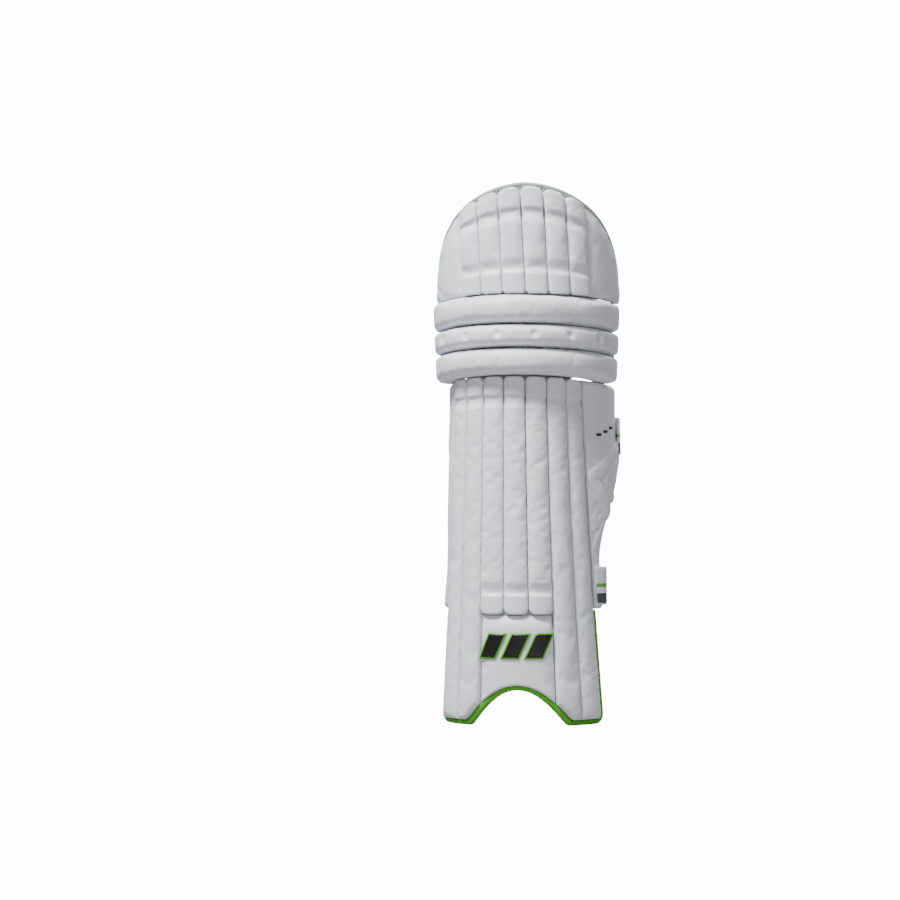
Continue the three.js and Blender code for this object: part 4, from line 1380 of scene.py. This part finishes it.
class LEGPAD_OT_flap(bpy.types.Operator):
    """Sew the top flap: channels, smooth sides, backing, printed lining and piping"""

    bl_idname = "leg_pad.flap"
    bl_label = "Top flap"

    def execute(self, context):
        for k in range(FLAP_CHANNELS):
            flap_channel(k)
        flap_side("flap_side_inner", FLAP_ENDS[0], 0)
        flap_side("flap_side_outer", FLAP_ENDS[1], FLAP_CHANNELS)
        wide = math.radians(2 * FLAP_TURN) * FLAP_RADIUS

        def board_place(s, t, q):
            return flap_share(lerp(*FLAP_ENDS, eased(s)), t, -2.4 if q > 0.5 else 0.0, BOARD_RIM)

        board = quilt("flap_backing_board", (wide, FLAP_RISE), (80, 30), board_place)
        keep(board, lining_cloth(), "top_flap", ["flap_backing"])

        def lining_place(s, t, q):
            angle = lerp(*FLAP_ENDS, s)
            loose = 0.5 + ripple(s * 9, t * 4, 2, 0.5)
            return flap_share(angle, t, -4.6 + loose if q > 0.5 else -2.8, LINING_RIM)

        cut_area = sum(
            (flap_top(a) - LINING_RIM - flap_bottom(a)) * math.radians(1) * (FLAP_RADIUS - 3.8)
            for a in range(FLAP_ENDS[0], FLAP_ENDS[1])
        )
        lining = quilt("printed_flap_lining", (wide, FLAP_RISE), (110, 44), lining_place)
        keep(lining, printed_lining(), "top_flap", ["flap_lining"])
        cut_area * MM * MM
        along_rim = steps(FLAP_ENDS[0] + 2, FLAP_ENDS[1] - 2, 150)
        rim = [rim_point(a, PIPING_RADIUS - 0.6, 2.4) for a in along_rim]
        piping = cord("flap_rim_piping", rim, PIPING_RADIUS * 1.15)
        keep(piping, grey_cord(), "top_flap", ["flap_piping"])
        seams = [channel_edge(k, 1) for k in range(-2, FLAP_CHANNELS + 3)]
        lines = [[rim_point(a, -3.5, 3.2), rim_point(a, PIPING_RADIUS + 1.5, 3.3)] for a in seams]
        tacks = stitches("flap_rim_tacks", lines, thick=0.6, long=2.4, pitch=2.5)
        thread = twisted_thread("dark_thread", (0.05, 0.07, 0.055, 1.0))
        keep(tacks, thread, "top_flap")
        return {"FINISHED"}


def under_facing(angle, z, d):
    """A point behind the top of the shin's backing, which sags with the lowest roll."""
    drop = ROLL_SAG[0] * (1 - math.cos(math.radians(angle)))
    return facing_point(angle / FACING_TURN * FACING_HALF, z - drop, d - BACKING_WALL - 0.2)


def lowest_gusset(angle, z, d):
    """From behind the shin's backing to behind the lowest roll."""
    share = smooth(z, SHIN_TOP + 1.6, SHIN_TOP + 7.5)
    return under_facing(angle, z, d).lerp(knee_point(angle, z, d), share)


def highest_gusset(angle, z, d):
    """From behind the upper roll to behind the flap's lining."""
    share = smooth(z, FLAP_BASE + 1.8, FLAP_BASE + 8)
    over = flap_point(angle, z - FLAP_BASE + flap_bottom(angle), d - 5.6)
    return knee_point(angle, z, d).lerp(over, share)


# the gussets: the turn that each reaches, how far below and above its seam, its form, and the
# two bodies that it joins
GUSSETS = (
    (56, -16.5, 12.5, lowest_gusset, ("shin_guard", "lower_roll")),
    (76, -8, 8, knee_point, ("lower_roll", "middle_roll")),
    (76, -8, 8, knee_point, ("middle_roll", "upper_roll")),
    (76, -13, 11, highest_gusset, ("upper_roll", "top_flap")),
)
GUSSET_CUT = 3.1  # millimetres of cloth for each degree of a gusset's turn


class LEGPAD_OT_gussets(bpy.types.Operator):
    """Lay the soft gussets that join the shin, the rolls and the flap, and bend with the knee"""

    bl_idname = "leg_pad.gussets"
    bl_label = "Knee gussets"

    def execute(self, context):
        for i, (reach, below, above, form, bodies) in enumerate(GUSSETS):
            self.gusset(i, reach, below, above, form, bodies)
        return {"FINISHED"}

    def gusset(self, i, reach, below, above, form, bodies):
        seam = ROLL_HEIGHTS[i]
        low, high = seam + below, seam + above

        def place(s, t, q):
            return form(lerp(-reach, reach, s), lerp(low, high, t), -2.4 if q < 0.5 else -0.5)

        wide, tall = reach * GUSSET_CUT, high - low
        piece = quilt(f"knee_seam_gusset_{i + 1}", (wide, tall), (80, 12), place, levels=0)
        piece.data.materials.append(lining_cloth())
        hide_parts(f"knee_gusset_{i + 1}")
        front = KNEE_CENTRE[1] - KNEE_RADIUS
        start, end = (metres(Vector((0, front, seam + off))) for off in (-5, 5))
        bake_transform(piece, *bodies, start=start, end=end)
        wide * MM
        tall * MM


# ---------------------------------------------------------------- straps
class Route:
    """A smooth line through plan points, measured along its length."""

    def __init__(self, points, fine=12):
        points = [Vector(p) for p in points]
        ends = [points[0] * 2 - points[1], *points, points[-1] * 2 - points[-2]]
        self.line = []
        for a, b, c, d in zip(ends, ends[1:], ends[2:], ends[3:]):
            for i in range(fine):
                t = i / fine
                self.line.append(0.5 * (
                    2 * b + (c - a) * t
                    + (2 * a - 5 * b + 4 * c - d) * t * t
                    + (3 * b - a - 3 * c + d) * t ** 3
                ))
        self.line.append(points[-1])
        self.marks = [0.0]
        for a, b in zip(self.line, self.line[1:]):
            self.marks.append(self.marks[-1] + (b - a).length)
        self.length = self.marks[-1]

    def at(self, share):
        """The point at a share of the length, and the direction there."""
        goal = clamp(share) * self.length
        low, high = 0, len(self.marks) - 1
        while high - low > 1:
            middle = (low + high) // 2
            low, high = (middle, high) if self.marks[middle] <= goal else (low, middle)
        span = self.marks[high] - self.marks[low]
        a, b = self.line[low], self.line[high]
        return a.lerp(b, (goal - self.marks[low]) / span if span else 0.0), (b - a).normalized()


def flat(point):
    """A point in plan."""
    return Vector((point.x, point.y))


def arc(x, y, radius, low, high, count):
    """Plan points round a centre, between two angles."""
    return [
        Vector((x + radius * math.cos(math.radians(a)), y + radius * math.sin(math.radians(a))))
        for a in steps(low, high, count)
    ]


def webbing(name, line_at, strap, seed=0, loose=0.0):
    """A length of webbing on edge, whose plan line may lean with height."""
    bottom, width = strap["bottom"], strap["width"]
    routes = {}

    def place(s, t, q):
        key = round(t * 1000)
        if key not in routes:
            routes[key] = Route(line_at(bottom + width * t))
        point, along = routes[key].at(s)
        edge = 0.35 + 0.65 * min(1.0, crown(t, 14) * 1.1)
        off = (q - 0.5) * STRAP_THICKNESS * edge
        wave = ripple(point.x * 0.018, t * 1.3, seed, loose)
        droop = ripple(point.x * 0.012, 0.4, seed + 2, loose * 1.2)
        return Vector((
            point.x + along.y * off,
            point.y - along.x * off + wave,
            bottom + width * t + droop,
        ))

    length = Route(line_at(bottom)).length
    count = max(8, round(length / 3.2))
    piece = quilt(name, (length, width), (count, 16), place)
    piece.data.materials.append(webbing_cloth(width))
    return piece


def loop_frame(name, strap):
    """A moulded loop: a rounded rectangle of square bar with softened edges."""
    wide, tall = LOOP_BARS + BAR, strap["width"] + 2 + 2 * BAR
    bm = bmesh.new()
    bmesh.ops.create_grid(bm, x_segments=1, y_segments=1, size=0.5)
    bmesh.ops.scale(bm, vec=(wide, tall, 1), verts=bm.verts)
    bmesh.ops.bevel(
        bm, geom=bm.verts[:], offset=LOOP_CORNER, segments=6, profile=0.5,
        affect="VERTICES", material=-1,
    )
    bmesh.ops.inset_region(
        bm, faces=bm.faces[:], thickness=BAR, use_boundary=True, use_even_offset=True,
    )
    inner = min(bm.faces, key=lambda face: face.calc_center_bounds().length)
    bmesh.ops.delete(bm, geom=[inner], context="FACES")
    bmesh.ops.remove_doubles(bm, verts=bm.verts, dist=0.02)
    grown = bmesh.ops.extrude_face_region(bm, geom=bm.faces[:], use_keep_orig=True)
    raised = [item for item in grown["geom"] if isinstance(item, bmesh.types.BMVert)]
    bmesh.ops.translate(bm, vec=(0, 0, BAR), verts=raised)
    bmesh.ops.recalc_face_normals(bm, faces=bm.faces)
    sharp = [edge for edge in bm.edges if edge.calc_face_angle(0) > 1.0]
    bmesh.ops.bevel(
        bm, geom=sharp, offset=1.1, segments=4, profile=0.5, affect="EDGES", material=-1,
    )
    middle = strap["bottom"] + strap["width"] / 2
    centre = Vector((strap["bar"] - LOOP_BARS / 2, strap["plane"], middle))
    for vert in bm.verts:
        x, y, z = vert.co
        vert.co = metres(centre + Vector((x, z - BAR / 2, y)))
    bmesh.ops.recalc_face_normals(bm, faces=bm.faces)
    return new_piece(name, bm)


def strap_lines(name):
    """Plan lines of a strap's run, fold, tab and tail, each as a function of height."""
    strap = STRAPS[name]
    plane, outer = strap["plane"], strap["bar"]
    back, bar = plane - FOLD, outer - LOOP_BARS
    bend = SHIN_RADIUS_TOP - 10
    seat = STRAP_THICKNESS / 2 + CLEARANCE + 0.2
    outside = WING_THICKNESS + seat

    def run(z):
        ahead = [Vector((0, back)), Vector((bar, back))]
        if name == "mid":
            sewn = [flat(side_point(-1, w, z, -seat)) for w in (48, 60, 70)]
            return [*sewn, *arc(-bend, back - 7, 7, 160, 90, 4), *ahead]
        if name == "low":
            behind = -BACKING_WALL - seat - 1
            sewn = [flat(shin_point(-FACING_HALF - w, z, behind)) for w in (-3, 4, 9)]
            return [*sewn, Vector((-bend - 6, back - 1)), Vector((-bend, back)), *ahead]
        return [Vector((KNEE_CENTRE[0] - KNEE_RADIUS - 23, back)), *ahead]

    def fold(z):
        return arc(bar, plane, FOLD, -90, 90, 8)

    def tab(z):
        width = WING_WIDTH[1 if name == "mid" else 0]
        rear = side_point(1, width, strap["bottom"] + strap["width"] / 2, outside).x
        if name == "mid":
            sewn, lead = (0, 10, 20), ((-0.5, 2.6), (-4.1, FOLD))
        elif name == "low":
            sewn, lead = (0, 7, 13), ((2.5, -1), (-0.6, 2), (-6.1, FOLD))
        else:
            rear = KNEE_CENTRE[0] + KNEE_RADIUS
            sewn, lead = (), ((23, FOLD - 1), (19, FOLD))
        return [
            *[flat(side_point(1, strap["tab"] + w, z, outside)) for w in sewn],
            *[Vector((rear + x, plane + y)) for x, y in lead],
            *arc(outer, plane, FOLD, 90, 270, 8), Vector((outer + 12, back)),
        ]

    def tail(z):
        places = [(-1.5, FOLD), (-6, 3.2), (-12, 0.2), (-18, -1.9)]
        places += [(-length, -2.3) for length in (24, 66, TAIL_LENGTH)]
        return [Vector((bar + x, plane + y)) for x, y in places]

    return run, fold, tab, tail


class LEGPAD_OT_straps(bpy.types.Operator):
    """Thread the three straps: run, fold, sewn tab, free tail and moulded loop"""

    bl_idname = "leg_pad.straps"
    bl_label = "Straps"

    def execute(self, context):
        for i, (name, strap) in enumerate(STRAPS.items()):
            run_line, fold_line, tab_line, tail_line = strap_lines(name)
            run = webbing(f"{name}_strap_run", run_line, strap, seed=i * 5, loose=0.5)
            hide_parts(f"{name}_strap")
            if name == "knee":
                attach(run, "middle_roll")
            else:
                bpy.context.view_layer.update()
                hard_mesh(run)
                back = strap["plane"] - FOLD
                start = metres(Vector((-70, back, strap["bottom"])))
                end = metres(Vector((strap["bar"] - LOOP_BARS - 6, back, strap["bottom"])))
                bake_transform(run, "shin_guard", "outer_wing", start=start, end=end)
            fold = webbing(f"{name}_strap_fold", fold_line, strap, seed=i * 5)
            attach(fold, f"{name}_loop")
            tab = webbing(f"{name}_strap_tab", tab_line, strap)
            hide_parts(f"{name}_tab")
            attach(tab, strap["holder"])
            tail = webbing(f"{name}_strap_tail", tail_line, strap, seed=i * 5, loose=0.5)
            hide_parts(f"{name}_tail")
            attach(tail, f"{name}_tail")
            loop = loop_frame(f"{name}_nylon_loop", strap)
            keep(loop, moulded_nylon(), f"{name}_loop", [f"{name}_loop"])
            self.sew_down(name, strap, tail_line(0)[-1])
        return {"FINISHED"}

    def sew_down(self, name, strap, tail_end):
        """Rows of stitches across the tab and across the end of the tail."""
        low, high = strap["bottom"] + 2, strap["bottom"] + strap["width"] - 2
        proud = STRAP_THICKNESS / 2 + 0.1

        def rows(y, places):
            return [[Vector((x, y, low)), Vector((x, y, high))] for x in places]

        thread = twisted_thread("white_thread", (0.8, 0.82, 0.83, 1.0))
        if name != "low":
            lines = rows(strap["plane"] + FOLD + proud, (strap["bar"] + 11, strap["bar"] + 14))
            piece = stitches(f"{name}_tab_stitches", lines)
            keep(piece, thread, strap["holder"])
        lines = rows(tail_end.y + proud, (tail_end.x + 4, tail_end.x + 8))
        piece = stitches(f"{name}_tail_stitches", lines)
        keep(piece, thread, f"{name}_tail")


def hard_mesh(piece):
    """Applies a piece's modifiers, so that its mesh is final."""
    solid = piece.evaluated_get(bpy.context.evaluated_depsgraph_get())
    mesh = bpy.data.meshes.new_from_object(solid)
    piece.modifiers.clear()
    piece.data = mesh


# ---------------------------------------------------------------- padding
class LEGPAD_OT_puff(bpy.types.Operator):
    """Blow up every stuffed piece a little as cloth, held at its seams, so that it creases"""

    bl_idname = "leg_pad.puff"
    bl_label = "Puff the padding"

    def execute(self, context):
        padding = context.scene.pad_padding
        self.simulate(context, padding)
        for piece, _ in STUFFED:
            round_off(piece)
        return {"FINISHED"}

    def simulate(self, context, padding):
        """Runs the cloth once, and moves each cover's points part of the way that it went."""
        scene = context.scene
        for piece, _ in STUFFED:
            cloth = piece.modifiers.new("Cloth", "CLOTH")
            cloth.settings.quality = 4
            cloth.settings.mass = 0.2
            cloth.settings.tension_stiffness = padding.stiffness
            cloth.settings.compression_stiffness = padding.stiffness
            cloth.settings.shear_stiffness = padding.stiffness / 2
            cloth.settings.bending_stiffness = 0.02
            cloth.settings.use_pressure = True
            cloth.settings.uniform_pressure_force = padding.pressure
            cloth.settings.vertex_group_mass = "sewn"
            cloth.settings.shrink_min = -padding.spare
            cloth.settings.effector_weights.gravity = 0
            cloth.collision_settings.use_collision = False
            cloth.collision_settings.use_self_collision = False
            cloth.point_cache.frame_start = 1
            cloth.point_cache.frame_end = padding.frames
        for step in range(1, padding.frames + 1):
            scene.frame_set(step)
        graph = context.evaluated_depsgraph_get()
        for piece, cap in STUFFED:
            solid = piece.evaluated_get(graph)
            moved = [vert.co.copy() for vert in solid.data.vertices]
            limit = cap * MM * padding.swell
            for vert, place in zip(piece.data.vertices, moved):
                move = place - vert.co
                if move.length > 1e-9:
                    vert.co += move.normalized() * limit * math.tanh(move.length / limit)
        for piece, _ in STUFFED:
            piece.modifiers.clear()
            piece.data.update()
        scene.frame_set(1)


class LEGPAD_OT_cores(bpy.types.Operator):
    """Give the canes and the rolls' foam cores, hidden inside, their materials"""

    bl_idname = "leg_pad.cores"
    bl_label = "Canes and cores"

    def execute(self, context):
        names = {f"shin_cane_{k + 1}": split_cane() for k in range(CHANNELS)}
        names.update({f"{name}_roll_foam": open_foam() for name in ("lower", "middle", "upper")})
        for name, finish in names.items():
            mesh = frame["nodes"][name].data
            mesh.materials.clear()
            mesh.materials.append(finish)
        return {"FINISHED"}


# ---------------------------------------------------------------- stage, in metres
FLOOR_HALF = 40
FLOOR_DROP = 0.0008
# the lights: each one's place, size and share of the main light's power
LIGHTS = {
    "key": ((-0.9, -1.3, 2.9), 0.9, 1.0),
    "fill": ((0.8, -3.4, 0.9), 2.4, 0.1),
    "back": ((0.8, 2.2, 2.4), 1.6, 0.45),
}


class LEGPAD_OT_stage(bpy.types.Operator):
    """Set the pale floor, the soft lights and the camera"""

    bl_idname = "leg_pad.stage"
    bl_label = "Stage"

    def execute(self, context):
        stage = context.scene.pad_stage
        scene = context.scene
        bm = bmesh.new()
        bmesh.ops.create_grid(bm, x_segments=4, y_segments=4, size=FLOOR_HALF)
        floor = new_piece("studio_floor", bm)
        floor.location.z = -FLOOR_DROP
        floor.data.materials.append(studio_floor())
        self.surround(scene, stage)
        middle = (CAD_BOX[0] + CAD_BOX[1]) / 2
        for name, (place, size, share) in LIGHTS.items():
            lamp = bpy.data.lights.new(name, "AREA")
            lamp.energy = stage.key * share
            lamp.size = size
            holder = bpy.data.objects.new(name, lamp)
            holder.location = place
            holder.rotation_euler = (middle - Vector(place)).to_track_quat("-Z", "Y").to_euler()
            scene.collection.objects.link(holder)
        self.camera(scene, stage)
        return {"FINISHED"}

    def surround(self, scene, stage):
        """White all round, faint as a light and bright where the camera sees it."""
        world = bpy.data.worlds.new("studio")
        world.use_nodes = True
        nodes, links = world.node_tree.nodes, world.node_tree.links
        seen = nodes.new("ShaderNodeLightPath").outputs["Is Camera Ray"]
        strength = nodes.new("ShaderNodeMapRange")
        strength.inputs["To Min"].default_value = stage.surround
        strength.inputs["To Max"].default_value = stage.backdrop
        links.new(seen, strength.inputs["Value"])
        links.new(strength.outputs[0], nodes["Background"].inputs["Strength"])
        nodes["Background"].inputs["Color"].default_value = (1.0, 1.0, 1.0, 1.0)
        scene.world = world

    def camera(self, scene, stage):
        """A long lens, level with the pad's middle and a little round to the wing."""
        camera = bpy.data.cameras.new("camera")
        camera.lens = stage.lens
        camera.sensor_width = 36
        camera.shift_x = stage.shift
        camera.clip_end = 200
        holder = bpy.data.objects.new("camera", camera)
        around = math.radians(stage.around)
        holder.location = (
            math.sin(around) * stage.distance,
            -math.cos(around) * stage.distance,
            stage.camera_height,
        )
        holder.rotation_euler = (math.radians(90), 0, around)
        scene.collection.objects.link(holder)
        scene.camera = holder


# ---------------------------------------------------------------- settings and panel
def colour_setting(name, description, default):
    return bpy.props.FloatVectorProperty(
        name=name, description=description, default=default,
        size=3, min=0, max=1, subtype="COLOR",
    )


class PadColours(bpy.types.PropertyGroup):
    """Colours of the pad's leather, cloth and print"""

    facing: colour_setting("Facing", "Colour of the white leather", (0.77, 0.795, 0.85))
    lining: colour_setting("Lining", "Colour of the lining cloths", (0.72, 0.74, 0.78))
    webbing: colour_setting("Webbing", "Ground colour of the straps", (0.8, 0.82, 0.84))
    green: colour_setting("Green", "Colour of the binding, stripes and print", (0.085, 0.43, 0.008))
    black: colour_setting("Black", "Colour of the instep lining and print", (0.004, 0.0045, 0.0045))
    piping: colour_setting("Piping", "Colour of the flap's piping", (0.42, 0.5, 0.44))


class PadPadding(bpy.types.PropertyGroup):
    """How the stuffed pieces swell"""

    pressure: bpy.props.FloatProperty(
        name="Pressure", description="Push of the stuffing on the cover", default=4.0, min=0,
    )
    stiffness: bpy.props.FloatProperty(
        name="Stiffness", description="How hard the cover resists stretching",
        default=14.0, min=0.1,
    )
    spare: bpy.props.FloatProperty(
        name="Spare cover", description="Share by which the cover is cut over size",
        default=0.012, min=0, max=0.2,
    )
    swell: bpy.props.FloatProperty(
        name="Swell", description="Scales how far a cover may move", default=0.5, min=0.1, max=3,
    )
    frames: bpy.props.IntProperty(
        name="Frames", description="Length of the simulation", default=18, min=2, max=60,
    )


class PadStage(bpy.types.PropertyGroup):
    """Camera and light"""

    around: bpy.props.FloatProperty(
        name="Around", description="Degrees that the camera stands round to the wing", default=6.5,
    )
    distance: bpy.props.FloatProperty(
        name="Distance", description="From the pad to the camera", default=4.0, unit="LENGTH",
    )
    camera_height: bpy.props.FloatProperty(
        name="Camera height", description="Above the floor", default=0.357, unit="LENGTH",
    )
    lens: bpy.props.FloatProperty(
        name="Lens", description="Focal length in millimetres", default=122.8, min=10,
    )
    shift: bpy.props.FloatProperty(
        name="Shift", description="How far the view is shifted sideways", default=-0.0826,
    )
    key: bpy.props.FloatProperty(
        name="Key light", description="Power of the main light", default=230.0, min=0, unit="POWER",
    )
    surround: bpy.props.FloatProperty(
        name="Surround", description="Brightness of the surrounding light", default=0.3, min=0,
    )
    backdrop: bpy.props.FloatProperty(
        name="Backdrop", description="Brightness of the background in the view",
        default=14.0, min=0,
    )


PIECE_OPERATORS = (
    LEGPAD_OT_stage,
    LEGPAD_OT_shin_facing,
    LEGPAD_OT_instep,
    LEGPAD_OT_binding,
    LEGPAD_OT_sides,
    LEGPAD_OT_calf,
    LEGPAD_OT_knee_rolls,
    LEGPAD_OT_knee_cushion,
    LEGPAD_OT_flap,
    LEGPAD_OT_gussets,
    LEGPAD_OT_straps,
    LEGPAD_OT_puff,
    LEGPAD_OT_cores,
)
SETTINGS = {"pad_colours": PadColours, "pad_padding": PadPadding, "pad_stage": PadStage}


class LEGPAD_PT_panel(bpy.types.Panel):
    """Lists the pad's pieces in the order they are made"""

    bl_idname = "LEGPAD_PT_panel"
    bl_label = "Leg pad"
    bl_space_type = "VIEW_3D"
    bl_region_type = "UI"
    bl_category = "Leg pad"

    def draw(self, context):
        for name, group in SETTINGS.items():
            box = self.layout.box()
            for setting in group.__annotations__:
                box.prop(getattr(context.scene, name), setting)
        for operator in PIECE_OPERATORS:
            self.layout.operator(operator.bl_idname)


CLASSES = (*SETTINGS.values(), *PIECE_OPERATORS, LEGPAD_PT_panel)


def register():
    for cls in CLASSES:
        bpy.utils.register_class(cls)
    for name, group in SETTINGS.items():
        setattr(bpy.types.Scene, name, bpy.props.PointerProperty(type=group))


def unregister():
    for name in SETTINGS:
        delattr(bpy.types.Scene, name)
    for cls in reversed(CLASSES):
        bpy.utils.unregister_class(cls)


def main():
    register()
    for operator in PIECE_OPERATORS:
        group, name = operator.bl_idname.split(".")
        getattr(getattr(bpy.ops, group), name)()


if __name__ == "__main__":
    main()
